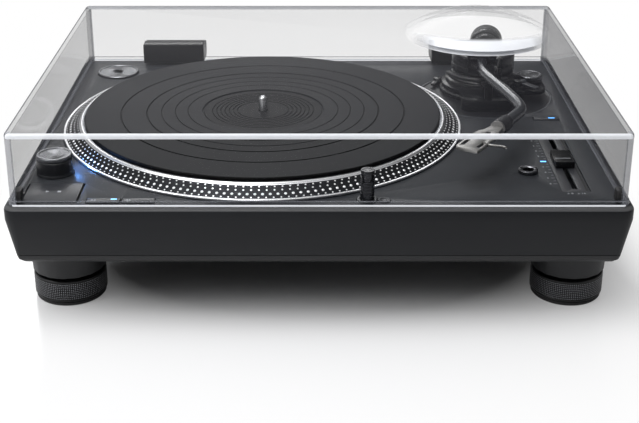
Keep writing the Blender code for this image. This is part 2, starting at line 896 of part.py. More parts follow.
def make_power_column(finishes):
    """The lamp column, its window towards the platter rim, and the switch knob on top."""
    at = deck_place(column_from_left, column_from_front, seat_gap)
    upper = column_radius - column_draw_in
    profile = [
        (0, column_height),
        (upper, column_height),
        (upper, column_height / 3),
        (column_radius, 0),
        (column_spigot_radius, 0),
        (column_spigot_radius, -column_spigot),
        (0, -column_spigot),
    ]
    column = turned("strobe_column", profile, at, finishes["satin_black"], segments=16)
    heading = math.atan2(spindle.y - at.y, spindle.x - at.x)
    window_at = at + Vector((math.cos(heading), math.sin(heading), 0)) * (upper - strobe_depth / 2)
    window_at.z += strobe_sill
    opening_size = (strobe_depth + 2 * overrun, strobe_width, strobe_height)
    opening_at = window_at + Vector((math.cos(heading), math.sin(heading), 0)) * overrun
    opening = block("strobe_opening", opening_size, opening_at, turn=heading)
    stem_hole = rod("knob_stem_hole", knob_stem_radius + seat_gap, knob_stem + seat_gap + overrun,
                    at + Vector((0, 0, column_height - knob_stem - seat_gap)), segments=8)
    boolean(column, 'DIFFERENCE', opening, stem_hole)

    window_size = (strobe_depth - 2 * seat_gap, strobe_width - 2 * seat_gap, strobe_height - 2 * seat_gap)
    window = block("strobe_window", window_size, window_at + Vector((0, 0, seat_gap)), finishes["blue_lens"],
                   turn=heading)
    face = rod("strobe_window_face", upper - seat_gap, column_height, at, segments=16)
    boolean(window, 'INTERSECT', face)

    knob_at = at + Vector((0, 0, column_height + seat_gap))
    knob = [
        (0, knob_height - knob_dish),
        (upper - knob_rim, knob_height - knob_dish / 2),
        (upper - knob_rim + knob_dish / 2, knob_height),
        (upper - knob_dish / 2, knob_height),
        (upper, knob_height - knob_dish / 2),
        (upper, 0),
        (knob_stem_radius, 0),
        (knob_stem_radius, -knob_stem),
        (0, -knob_stem),
    ]
    turned("power_knob", knob, knob_at, finishes["black_metal"], segments=16)


def make_button(name, width, depth, at, cabinet, finishes, around):
    """A sprung key: a cap with a groove round it, on a wider skirt that slides in its pocket."""
    skirt_foot = button_proud - button_cap - button_skirt
    corner = around
    cut = pocket(name + "_pocket", width, depth, at, button_pocket, around, corner)
    boolean(cabinet, 'DIFFERENCE', cut)
    skirt_reach = around - seat_gap
    skirt_size = (width + 2 * skirt_reach, depth + 2 * skirt_reach, button_skirt)
    key = block(name, skirt_size, at + Vector((0, 0, skirt_foot)), finishes["deck_grey"], round_radius=corner, steps=2)
    cap_size = (width, depth, button_cap + button_skirt / 2)
    cap = block(name + "_cap", cap_size, at + Vector((0, 0, skirt_foot + button_skirt / 2)),
                round_radius=corner / 2, steps=2)
    boolean(key, 'UNION', cap)
    return key


def make_buttons(cabinet, finishes):
    """Start and stop plate, two speed keys, pitch reset key and the stylus light's release."""
    start_at = deck_place(start_from_left + start_width / 2, start_from_front + start_depth / 2)
    make_button("start_stop_button", start_width, start_depth, start_at, cabinet, finishes, groove)
    for index in range(2):
        speed_at = deck_place(speed_from_left + speed_width / 2 + index * speed_pitch,
                              speed_from_front + speed_depth / 2)
        make_button(f"speed_button_{index + 1}", speed_width, speed_depth, speed_at, cabinet, finishes, speed_groove)
    reset_at = deck_place(plinth_width - reset_from_right, reset_from_front)
    make_button("reset_button", reset_width, reset_depth, reset_at, cabinet, finishes, speed_groove)

    release_at = Vector((release_from_middle, front_y + release_from_front, deck_z))
    hole = rod("release_hole", release_radius + running_gap, button_pocket + overrun,
               release_at - Vector((0, 0, button_pocket)), segments=12)
    boolean(cabinet, 'DIFFERENCE', hole)
    length = button_cap + button_skirt + release_proud
    edge = release_proud / 2
    profile = [
        (0, release_proud),
        (release_radius - edge, release_proud),
        (release_radius, release_proud - edge),
        (release_radius, release_proud - length),
        (0, release_proud - length),
    ]
    turned("light_button", profile, release_at, finishes["black_metal"], segments=12)


def make_stylus_light(cabinet, finishes):
    """The lamp post that rises out of the deck, its collar and the lens in its head."""
    at = Vector((light_from_middle, front_y + light_from_front, deck_z))
    well = rod("light_well", light_radius + running_gap, light_well_depth + overrun,
               at - Vector((0, 0, light_well_depth)), segments=12)
    seat = rod("light_collar_seat", light_collar_radius + seat_gap, light_collar_sink + seat_gap + overrun,
               at - Vector((0, 0, light_collar_sink + seat_gap)), segments=16)
    boolean(cabinet, 'DIFFERENCE', well, seat)
    bore = light_radius + running_gap
    collar = [
        (bore, light_collar_height),
        (light_collar_radius - light_collar_height / 2, light_collar_height),
        (light_collar_radius, light_collar_height / 2),
        (light_collar_radius, -light_collar_sink),
        (bore, -light_collar_sink),
    ]
    turned("light_collar", collar, at, finishes["black_metal"], segments=16, ring=True)
    edge = light_radius / 10
    post = [
        (0, light_height),
        (light_radius - edge, light_height),
        (light_radius, light_height - edge),
        (light_radius, light_height - light_length),
        (0, light_height - light_length),
    ]
    light = turned("stylus_light", post, at, finishes["black_metal"], segments=12)
    heading = math.atan2(spindle.y - at.y, spindle.x - at.x)
    outward = Vector((math.cos(heading), math.sin(heading), 0))
    lens_at = at + outward * (light_radius - lens_depth) + Vector((0, 0, light_height - lens_drop))
    hole = rod("lens_hole", lens_radius, lens_depth + overrun, lens_at, segments=8, axis='X', turn=heading)
    boolean(light, 'DIFFERENCE', hole)
    rod("light_lens", lens_radius - seat_gap, lens_depth / 2, lens_at + outward * seat_gap,
        finishes["blue_lens"], segments=8, axis='X', turn=heading)


def make_fader(cabinet, finishes):
    """The pitch fader: a sunk plate with a long slot, and the scooped knob that runs along it."""
    length = fader_back - fader_front
    at = deck_place(plinth_width - fader_from_right, fader_front + length / 2)
    seat = pocket("fader_seat", fader_width, length, at, fader_sink + fader_plate + seat_gap, seat_gap)
    channel_width = fader_width - 2 * fader_slot
    channel = pocket("fader_channel", channel_width, length - 2 * fader_slot, at, fader_pocket, 0)
    boolean(cabinet, 'DIFFERENCE', seat, channel)
    plate_at = at - Vector((0, 0, fader_sink + fader_plate))
    plate = block("fader_plate", (fader_width, length, fader_plate), plate_at, finishes["deck_grey"])
    slot = block("fader_slot", (fader_slot, length - 2 * fader_slot_margin, fader_plate + 2 * overrun),
                 plate_at - Vector((0, 0, overrun)), round_radius=fader_slot / 3, steps=3)
    boolean(plate, 'DIFFERENCE', slot)

    knob_at = at - Vector((0, 0, fader_sink - seat_gap))
    knob = block("fader_knob", (fader_knob_width, fader_knob_length, fader_knob_height), knob_at,
                 finishes["black_plastic"])
    sagitta = fader_knob_scoop
    half = fader_knob_length / 2 - fader_knob_lip / 2
    scoop_radius = (half * half + sagitta * sagitta) / (2 * sagitta)
    scoop_at = knob_at + Vector((-fader_knob_width / 2 - overrun, 0, fader_knob_height - sagitta + scoop_radius))
    scoop = rod("fader_scoop", scoop_radius, fader_knob_width + 2 * overrun, scoop_at, segments=48, axis='X')
    stem = block("fader_stem", (fader_stem_width, fader_stem_length, fader_stem_drop + fader_knob_height / 2),
                 knob_at - Vector((0, 0, fader_stem_drop)))
    boolean(knob, 'DIFFERENCE', scoop)
    boolean(knob, 'UNION', stem)


def make_deck_fittings(cabinet, finishes):
    """The spare headshell socket and the adaptor for single records in its dish."""
    stand_at = deck_place(plinth_width - stand_from_right, stand_from_front, seat_gap)
    edge = stand_height / 6
    profile = [
        (0, stand_height - stand_bore_depth),
        (stand_bore_radius, stand_height - stand_bore_depth),
        (stand_bore_radius, stand_height - 2 * edge),
        (stand_bore_radius + edge, stand_height - edge),
        (stand_radius - 2 * edge, stand_height),
        (stand_radius, stand_height - 2 * edge),
        (stand_radius, 0),
        (stand_spigot_radius, 0),
        (stand_spigot_radius, -stand_spigot),
        (0, -stand_spigot),
    ]
    turned("headshell_stand", profile, stand_at, finishes["black_metal"], segments=16)
    stand_hole = rod("stand_hole", stand_spigot_radius + seat_gap, stand_spigot + 2 * seat_gap + overrun,
                     stand_at - Vector((0, 0, stand_spigot + 2 * seat_gap)), segments=12)
    column_at = deck_place(column_from_left, column_from_front)
    column_hole = rod("column_hole", column_spigot_radius + seat_gap, column_spigot + overrun,
                      column_at - Vector((0, 0, column_spigot)), segments=12)
    adaptor_at = deck_place(adaptor_from_left, adaptor_from_front)
    dish = rod("adaptor_dish", adaptor_radius + running_gap, adaptor_sink + overrun,
               adaptor_at - Vector((0, 0, adaptor_sink)), segments=16)
    boolean(cabinet, 'DIFFERENCE', stand_hole, column_hole, dish)

    top = adaptor_height
    adaptor = [
        (adaptor_bore, top - adaptor_dish),
        (adaptor_bore + adaptor_dish, top - adaptor_dish / 2),
        (adaptor_radius - 2 * adaptor_bevel, top - adaptor_dish / 2),
        (adaptor_radius - adaptor_bevel, top),
        (adaptor_radius, top - adaptor_bevel),
        (adaptor_radius, 0),
        (adaptor_bore, 0),
    ]
    turned("single_adaptor", adaptor, adaptor_at - Vector((0, 0, adaptor_sink - seat_gap)), finishes["spun_metal"],
           segments=16, ring=True)


def platform_place(right, forward, height=0.0):
    """A point by its distances to the right and in front of the arm's pivot."""
    return pivot + Vector((right, -forward, height))


def lock_place(height):
    """The lock lever's axis, on the base plate just outside the height ring."""
    bearing = math.radians(lock_bearing_deg)
    circle = arm_plate_radius * lock_circle_share
    return pivot + Vector((circle * math.cos(bearing), circle * math.sin(bearing), height))


def make_arm_base(finishes):
    """The sunk base plate with its guide tube, and the ring that raises the platform."""
    under = -arm_plate_sink - arm_plate_thickness
    inner = arm_plate_radius - arm_plate_rim
    profile = [
        (0, -arm_plate_floor),
        (inner, -arm_plate_floor),
        (inner + arm_plate_floor - arm_plate_sink, -arm_plate_sink),
        (arm_plate_radius, -arm_plate_sink),
        (arm_plate_radius, under),
        (0, under),
    ]
    plate = turned("arm_base_plate", profile, arm_plate, finishes["black_metal"], segments=32)
    guide = rod("arm_guide", arm_guide_radius + arm_guide_wall, arm_guide_depth - arm_plate_floor - seat_gap,
                pivot - Vector((0, 0, arm_guide_depth)), segments=20)
    bore = rod("arm_guide_bore", arm_guide_radius, arm_guide_depth + overrun,
               pivot - Vector((0, 0, arm_guide_depth + overrun / 2)), segments=20)
    lock_hole = rod("lock_pin_hole", lock_pin_radius + seat_gap, lock_pin + seat_gap + overrun,
                    lock_place(arm_floor - lock_pin - seat_gap), segments=10)
    boolean(plate, 'UNION', guide)
    boolean(plate, 'DIFFERENCE', bore, lock_hole)

    ring_top = height_ring_height - arm_plate_floor
    edge = height_ring_height / 5
    ring = [
        (arm_guide_radius, ring_top),
        (height_ring_radius - 3 * edge, ring_top),
        (height_ring_radius - 3 * edge, ring_top - edge),
        (height_ring_radius - edge, ring_top - edge),
        (height_ring_radius, ring_top - 2 * edge),
        (height_ring_radius, arm_floor),
        (arm_guide_radius, arm_floor),
    ]
    turned("height_ring", ring, pivot, finishes["black_metal"], segments=24, ring=True)


def lift_place(height):
    """The arm lift's axis, beside the bearing housing."""
    angle = math.radians(lift_piston_deg)
    return pivot + Vector((lift_circle * math.sin(angle), -lift_circle * math.cos(angle), height))


def make_platform(finishes):
    """The raised arm platform: stepped neck, front lobe, right wing, lift housing and cueing bracket."""
    sleeve = arm_guide_radius - running_gap
    neck_top = turret_bottom - 2 * seat_gap
    inner_neck = neck_radius - collar_step
    profile = [
        (0, turret_bottom + turret_floor - running_gap),
        (turret_post_radius, turret_bottom + turret_floor - running_gap),
        (turret_post_radius, neck_top),
        (inner_neck - collar_step / 2, neck_top),
        (inner_neck, neck_top - collar_step / 2),
        (inner_neck, platform_top + neck_step + collar_step / 2),
        (neck_radius, platform_top + neck_step),
        (neck_radius, platform_top),
        (platform_radius, platform_top),
        (platform_radius, platform_z),
        (sleeve, platform_z),
        (sleeve, -arm_guide_depth + overrun),
        (0, -arm_guide_depth + overrun),
    ]
    platform = turned("arm_platform", profile, pivot, finishes["black_metal"], segments=24)

    front = arm_plate_forward + lobe_front
    lobe = block("platform_lobe", (lobe_width, lobe_depth, platform_top + step_up - arm_floor),
                 platform_place(lobe_left, front - lobe_depth / 2, arm_floor), round_radius=lobe_round)
    bridge = block("platform_bridge", (lobe_width, front - lobe_round, platform_thickness + step_up * 5 / 6),
                   platform_place(lobe_left, (front - lobe_round) / 2, platform_z + step_up / 6))
    wing = block("platform_wing", (wing_width, wing_depth, platform_thickness + step_up / 6),
                 platform_place(wing_right, wing_forward, platform_z + step_up / 3), round_radius=wing_round, steps=5)
    boolean(platform, 'UNION', lobe, bridge, wing)

    housing = rod("lift_housing", lift_housing_radius, lift_housing_top - platform_z - step_up / 2,
                  lift_place(platform_z + step_up / 2), segments=12)
    lug = block("cue_bracket", (cue_bracket_width, cue_bracket_length, cue_axis_height + cue_hub_radius - platform_z),
                cue_point(cue_bracket_right, 0, platform_z + step_up / 4), turn=math.radians(cue_heading_deg),
                round_radius=cue_pin_radius, steps=2)
    boolean(platform, 'UNION', housing, lug)

    bore = rod("lift_bore", lift_piston_radius + running_gap, turret_bottom,
               lift_place(lift_piston_foot - seat_gap), segments=10)
    pin = rod("cue_pin_hole", cue_pin_radius + seat_gap, cue_bracket_width + 2 * overrun,
              cue_point(cue_bracket_right - cue_bracket_width / 2 - overrun, 0, cue_axis_height),
              segments=8, axis='X', turn=math.radians(cue_heading_deg))
    wing_top = platform_top + step_up / 2
    dial_hole = rod("skate_pin_hole", skate_pin_radius + seat_gap, skate_pin + seat_gap + overrun,
                    platform_place(skate_right, skate_forward, wing_top - skate_pin - seat_gap), segments=8)
    dial_space = rod("skate_dial_space", skate_radius + running_gap, skate_height + overrun,
                     platform_place(skate_right, skate_forward, wing_top), segments=16)
    boolean(platform, 'DIFFERENCE', bore, pin, dial_hole, dial_space)
    return platform


def cue_point(right, forward, height):
    """A point near the cueing lever's hinge, in the lever's own directions."""
    turn = Matrix.Rotation(math.radians(cue_heading_deg), 3, 'Z')
    return platform_place(cue_right, cue_forward) + turn @ Vector((right, -forward, height))


def make_cueing(finishes):
    """The cueing lever on its pin, and the lift that carries the arm over the record."""
    turn = math.radians(cue_heading_deg)
    hub_at = cue_point(-cue_hub_length / 2, 0, cue_axis_height)
    lever = rod("cue_lever", cue_hub_radius, cue_hub_length, hub_at, finishes["black_metal"], axis='X', turn=turn)
    pin = rod("cue_pin", cue_pin_radius, cue_hub_length + cue_bracket_width + seat_gap,
              cue_point(cue_bracket_right - cue_bracket_width / 2, 0, cue_axis_height),
              segments=8, axis='X', turn=turn)
    handle = block("cue_handle", (cue_handle_width, cue_handle_length, cue_handle_thickness),
                   cue_point(0, cue_handle_length / 2, cue_axis_height - cue_handle_thickness / 2), turn=turn,
                   round_radius=cue_handle_width / 3)
    boolean(lever, 'UNION', pin, handle)

    bar_top = lift_bar_bottom + lift_bar_height
    half = lift_bar_width / 2
    edge = lift_bar_height / 4
    section = [
        (lift_circle - half, bar_top - edge),
        (lift_circle - half + edge, bar_top),
        (lift_circle + half - edge, bar_top),
        (lift_circle + half, bar_top - edge),
        (lift_circle + half, lift_bar_bottom),
        (lift_circle - half, lift_bar_bottom),
    ]
    start_turn = math.radians(lift_to_deg - 90)
    sweep = math.radians(lift_from_deg - lift_to_deg)
    lift = swept_bar("arm_lift", section, pivot, start_turn, sweep, finishes["black_metal"])
    piston = rod("lift_piston", lift_piston_radius, lift_bar_bottom + edge - lift_piston_foot,
                 lift_place(lift_piston_foot), segments=10)
    boolean(lift, 'UNION', piston)


def swept_bar(name, section, at, start_turn, sweep, material, steps=14):
    """A closed section carried round part of a circle, with its ends filled."""
    bm = bmesh.new()
    verts = [bm.verts.new((radius, 0, height)) for radius, height in section]
    face = bm.faces.new(verts)
    bmesh.ops.rotate(bm, verts=bm.verts, matrix=Matrix.Rotation(start_turn, 3, 'Z'))
    bmesh.ops.spin(bm, geom=[face] + list(face.edges) + list(face.verts), axis=(0, 0, 1), angle=sweep,
                   steps=steps, cent=(0, 0, 0))
    bmesh.ops.remove_doubles(bm, verts=bm.verts, dist=merge_distance)
    return place(name, to_mesh(name, bm), at, material)


def make_small_arm_parts(finishes):
    """The anti-skating dial, the lock lever of the height ring, and the arm rest with its clamp."""
    dial_at = platform_place(skate_right, skate_forward, platform_top + step_up / 2 + seat_gap)
    dial = [
        (0, skate_height - skate_dish),
        (skate_radius - skate_rim, skate_height - skate_dish / 2),
        (skate_radius - skate_rim + skate_dish / 2, skate_height),
        (skate_radius - skate_dish / 2, skate_height),
        (skate_radius, skate_height - skate_dish / 2),
        (skate_radius, 0),
        (skate_pin_radius, 0),
        (skate_pin_radius, -skate_pin),
        (0, -skate_pin),
    ]
    turned("anti_skate_dial", dial, dial_at, finishes["black_metal"], segments=16)

    lock_at = lock_place(arm_floor)
    boss = [
        (0, lock_boss_height),
        (lock_boss_radius - lock_handle_thickness / 4, lock_boss_height),
        (lock_boss_radius, lock_boss_height - lock_handle_thickness / 4),
        (lock_boss_radius, 0),
        (lock_pin_radius, 0),
        (lock_pin_radius, -lock_pin),
        (0, -lock_pin),
    ]
    lock = turned("height_lock_lever", boss, lock_at, finishes["black_metal"], segments=12)
    heading = math.radians(lock_bearing_deg + 180)
    out = Matrix.Rotation(heading, 3, 'Z')
    handle_at = lock_at + out @ Vector((0, -lock_handle / 2, lock_boss_height - 2 * lock_handle_thickness))
    handle = block("lock_handle", (lock_handle_width, lock_handle, lock_handle_thickness), handle_at,
                   round_radius=lock_handle_width / 3, turn=heading, steps=3)
    boolean(lock, 'UNION', handle)


def make_rest(arm_frame, finishes):
    """The arm rest on the front lobe: post, shelf and wall, with the swinging clamp over the tube."""
    rest_lateral, rest_turn = rest_line()
    frame = empty("rest_frame", (rest_lateral, -rest_along, 0), rest_turn, arm_frame)
    shelf_top = pivot_height - tube_radius - seat_gap
    shelf_foot = shelf_top - rest_shelf_thickness
    inner = tube_radius + rest_wall_gap
    outer = inner + rest_wall
    hinge_height = pivot_height + tube_radius + running_gap + clamp_thickness / 2
    wall_top = hinge_height - clamp_hub_radius - seat_gap

    foot = platform_top + step_up + seat_gap
    rest = rod("arm_rest", rest_post_radius, shelf_foot + rest_shelf_thickness / 2 - foot, (0, 0, foot),
               finishes["black_plastic"], segments=10, parent=frame)
    shelf = block("rest_shelf", (outer + rest_inner_reach - rest_wall / 4, rest_length - rest_wall / 2,
                                 rest_shelf_thickness),
                  ((outer - rest_wall / 4 - rest_inner_reach) / 2, 0, shelf_foot), parent=frame)
    wall = block("rest_wall", (rest_wall, rest_length, wall_top - shelf_foot - rest_wall / 4),
                 (inner + rest_wall / 2, 0, shelf_foot + rest_wall / 4),
                 parent=frame, round_radius=rest_wall / 4, steps=2)
    boolean(rest, 'UNION', shelf, wall)
    ear_foot = wall_top - rest_wall
    for side in (-1, 1):
        ear_at = (inner + rest_wall / 2, side * (rest_length / 2 - rest_wall / 4 - rest_ear / 2), ear_foot)
        ear = block("rest_ear_" + str(side + 2),
                    (rest_wall - running_gap, rest_ear, hinge_height + clamp_hub_radius - ear_foot),
                    ear_at, parent=frame)
        boolean(rest, 'UNION', ear)
    hole = rod("rest_pin_hole", clamp_pin_radius + seat_gap, rest_length + 2 * overrun,
               (inner + rest_wall / 2, -rest_length / 2 - overrun, hinge_height), segments=8, axis='Y', parent=frame)
    boolean(rest, 'DIFFERENCE', hole)

    hub_length = rest_length - 2 * rest_ear - rest_wall / 2 - 2 * seat_gap
    clamp_frame = empty("clamp_frame", (inner + rest_wall / 2, 0, hinge_height), 0, frame)
    clamp = rod("arm_clamp", clamp_hub_radius, hub_length, (0, -hub_length / 2, 0), finishes["black_plastic"],
                segments=8, axis='Y', parent=clamp_frame)
    pin = rod("clamp_pin", clamp_pin_radius, rest_length, (0, -rest_length / 2, 0), segments=8, axis='Y',
              parent=clamp_frame)
    finger = block("clamp_finger", (clamp_thickness, hub_length, clamp_reach), (0, 0, 0), parent=clamp_frame)
    finger.rotation_euler = (0, math.radians(clamp_tilt_deg), 0)
    boolean(clamp, 'UNION', pin, finger)


def rest_line():
    """How far to the side the rest stands to hold the tube, and which way the tube runs over it."""
    share = rest_along / effective_length
    for (along, lateral), (next_along, next_lateral) in zip(arm_line_shares, arm_line_shares[1:]):
        if next_along > share:
            break
    slope = (next_lateral - lateral) / (next_along - along)
    return (lateral + slope * (share - along)) * effective_length, math.atan(slope)


def centreline():
    """The arm tube's centre points, from the pivot forward, in the arm's own directions."""
    points = []
    for along_share, lateral_share in arm_line_shares:
        points.append(Vector((lateral_share * effective_length, -along_share * effective_length, 0)))
    end = tube_end()
    points.append(end)
    return points


def tube_end():
    """Where the tube ends and the headshell's socket opens, in line with the stylus."""
    along = tube_end_share * effective_length
    lateral = (effective_length - along) * math.tan(offset_angle)
    return Vector((lateral, -along, 0))


def make_turret(arm_frame, finishes):
    """The bearing housing that yaws: a slotted drum with a bridge over the tube, and its cap."""
    edge = turret_edge
    profile = [
        (0, turret_height),
        (turret_radius - edge, turret_height),
        (turret_radius - edge / 3, turret_height - edge / 3),
        (turret_radius, turret_height - edge),
        (turret_radius, 0),
        (0, 0),
    ]
    turret = turned("arm_turret", profile, (0, 0, turret_bottom), finishes["black_metal"], segments=24,
                    parent=arm_frame)
    reach = turret_radius + overrun
    roof = turret_top - turret_roof
    floor = turret_bottom + turret_floor
    slot = block("turret_slot", (turret_slot, 2 * reach, roof - floor), (0, 0, floor), parent=arm_frame)
    boolean(turret, 'DIFFERENCE', slot)
    for side in (-1, 1):
        cut = block("turret_opening_" + str(side + 2), (turret_slot, reach - turret_bridge, turret_top - floor + overrun),
                    (0, side * (reach + turret_bridge) / 2, floor), parent=arm_frame)
        boolean(turret, 'DIFFERENCE', cut)
    post = rod("turret_bore", turret_post_radius + seat_gap, turret_floor + 2 * overrun,
               (0, 0, turret_bottom - overrun), segments=16, parent=arm_frame)
    reach = trunnion_pin_reach + running_gap
    pins = rod("turret_pin_hole", trunnion_pin_radius + seat_gap, 2 * reach, (-reach, 0, pivot_height),
               segments=8, axis='X', parent=arm_frame)
    boolean(turret, 'DIFFERENCE', pins, post)

    cap_edge = turret_cap_height / 5
    cap = [
        (0, turret_cap_height),
        (turret_cap_radius - 2 * cap_edge, turret_cap_height),
        (turret_cap_radius - cap_edge / 2, turret_cap_height - cap_edge / 2),
        (turret_cap_radius, turret_cap_height - 2 * cap_edge),
        (turret_cap_radius, 0),
        (0, 0),
    ]
    turned("turret_cap", cap, (0, 0, turret_top + seat_gap), finishes["black_metal"], segments=16, parent=arm_frame)


def make_arm(arm_frame, finishes):
    """The tube with its trunnion and rear stub, the counterweight on its carrier, and the dials on it."""
    axis_at = (0, 0, pivot_height)
    end = tube_end()
    arm = tube("arm_tube", centreline(), tube_radius, axis_at, finishes["arm_black"], parent=arm_frame)
    trunnion = rod("trunnion", trunnion_radius, trunnion_length, (-trunnion_length / 2, 0, pivot_height),
                   segments=12, axis='X', parent=arm_frame)
    pins = rod("trunnion_pins", trunnion_pin_radius, 2 * trunnion_pin_reach, (-trunnion_pin_reach, 0, pivot_height),
               segments=8, axis='X', parent=arm_frame)
    stub = rod("rear_stub", stub_radius, stub_end, axis_at, segments=12, axis='Y', parent=arm_frame)
    boolean(arm, 'UNION', trunnion, pins, stub)
    shell_frame = empty("shell_frame", (end.x, end.y, pivot_height), -offset_angle, arm_frame)
    socket = rod("socket_bore", socket_radius, socket_depth + overrun, (0, -overrun, 0), segments=10, axis='Y',
                 parent=shell_frame)
    boolean(arm, 'DIFFERENCE', socket)

    bore = stub_radius + seat_gap
    backward = -math.pi / 2
    insert = [
        (bore, insert_length),
        (insert_radius - running_gap, insert_length),
        (insert_radius, insert_length - running_gap),
        (insert_radius, 0),
        (bore, 0),
    ]
    turned("weight_insert", insert, (0, insert_start, pivot_height), finishes["steel"], segments=16,
           parent=arm_frame, tilt=backward, ring=True)
    bore = insert_radius + seat_gap
    dial = [
        (bore, force_ring_length),
        (force_ring_radius, force_ring_length),
        (force_ring_radius, force_ring_length / 3),
        (force_ring_radius - force_ring_length / 3, 0),
        (bore, 0),
    ]
    turned("force_dial", dial, (0, insert_start + seat_gap, pivot_height), finishes["black_metal"], segments=16,
           parent=arm_frame, tilt=backward, ring=True)
    edge = weight_edge
    middle = weight_length / 3
    weight = [
        (bore, weight_length),
        (weight_radius - edge, weight_length),
        (weight_radius, weight_length - edge),
        (weight_radius, middle + edge / 2),
        (weight_radius - edge / 2, middle),
        (weight_radius, middle - edge / 2),
        (weight_radius, edge),
        (weight_radius - edge, 0),
        (bore, 0),
    ]
    turned("counterweight", weight, (0, insert_start + force_ring_length + 2 * seat_gap, pivot_height),
           finishes["black_metal"], segments=20, parent=arm_frame, tilt=backward, ring=True)

    bore = tube_radius + seat_gap
    edge = collar_nut_length / 10
    nut = [
        (bore, collar_nut_length),
        (collar_nut_radius - edge / 2, collar_nut_length),
        (collar_nut_radius, collar_nut_length - edge),
        (collar_nut_radius, edge),
        (collar_nut_radius - edge / 2, 0),
        (bore, 0),
    ]
    turned("collar_nut", nut, (0, 0, 0), finishes["black_metal"], segments=16, parent=shell_frame,
           tilt=backward, ring=True)
    return shell_frame


def make_headshell(shell_frame, finishes):
    """The pierced cartridge carrier: plug, washer, flared plate with slots and holes, and finger lift."""
    start = shell_washer + seat_gap
    half_neck = shell_neck / 2
    half = shell_width / 2
    corner = half / 3
    tip = start + shell_length
    edge_points = [
        (half_neck, start - shell_washer / 2),
        (half_neck, start + shell_neck / 3),
        (half_neck + (half - half_neck) / 3, start + shell_shoulder * 2 / 3),
        (half - corner / 4, start + shell_shoulder - corner / 4),
        (half, start + shell_shoulder + corner),
        (half, tip - corner),
        (half - corner / 4, tip - corner / 4),
        (half - corner, tip),
    ]
    outline = edge_points + [(-side, along) for side, along in reversed(edge_points)]
    bm = bmesh.new()
    face = bm.faces.new([bm.verts.new((side, -along, 0)) for side, along in outline])
    grown = bmesh.ops.extrude_face_region(bm, geom=[face])
    raised = [item for item in grown["geom"] if isinstance(item, bmesh.types.BMVert)]
    bmesh.ops.translate(bm, verts=raised, vec=(0, 0, shell_thickness))
    plate_foot = shell_rise - shell_thickness / 2
    shell = place("headshell", to_mesh("headshell", bm), (0, 0, plate_foot), finishes["silver"], shell_frame)

    plug = rod("shell_plug", plug_radius, plug_length + start, (0, -start, 0), segments=10, axis='Y',
               parent=shell_frame)
    washer = rod("shell_washer", shell_washer_radius, shell_washer, (0, -start, 0), segments=12, axis='Y',
                 parent=shell_frame)
    boolean(shell, 'UNION', washer, plug)
    below = plate_foot - overrun
    through = shell_thickness + 2 * overrun
    for side in (-1, 1):
        slot = block("shell_slot_" + str(side + 2), (shell_slot_width, shell_slot_length, through),
                     (side * shell_slot_pitch / 2, -tip + shell_slot_from_end, below),
                     parent=shell_frame, round_radius=shell_slot_width / 3, steps=3)
        hole = rod("shell_hole_" + str(side + 2), shell_hole_radius, through,
                   (side * shell_slot_pitch / 3, -tip + shell_hole_from_end, below), segments=8, parent=shell_frame)
        boolean(shell, 'DIFFERENCE', slot, hole)
    lightening = rod("shell_round_hole", shell_hole_radius, through,
                     (0, -start - shell_shoulder, below), segments=8, parent=shell_frame)
    boolean(shell, 'DIFFERENCE', lightening)

    lift_start = half - shell_thickness / 2
    lift_points = [
        (lift_start, -tip + finger_from_end, shell_rise),
        (half + finger_reach / 4, -tip + finger_from_end, shell_rise),
        (half + finger_reach * 2 / 3, -tip + finger_from_end - finger_sweep / 3, shell_rise + finger_rise / 2),
        (half + finger_reach, -tip + finger_from_end - finger_sweep, shell_rise + finger_rise),
    ]
    finger = tube("finger_lift", lift_points, finger_radius, (0, 0, 0), parent=shell_frame, sides=2)
    boolean(shell, 'UNION', finger)


def hinge_axis(side):
    """The middle of one hinge's knuckles, behind the plinth."""
    return Vector((side * hinge_centres / 2, back_y + hinge_reach - knuckle_radius, deck_z + hinge_axis_height))


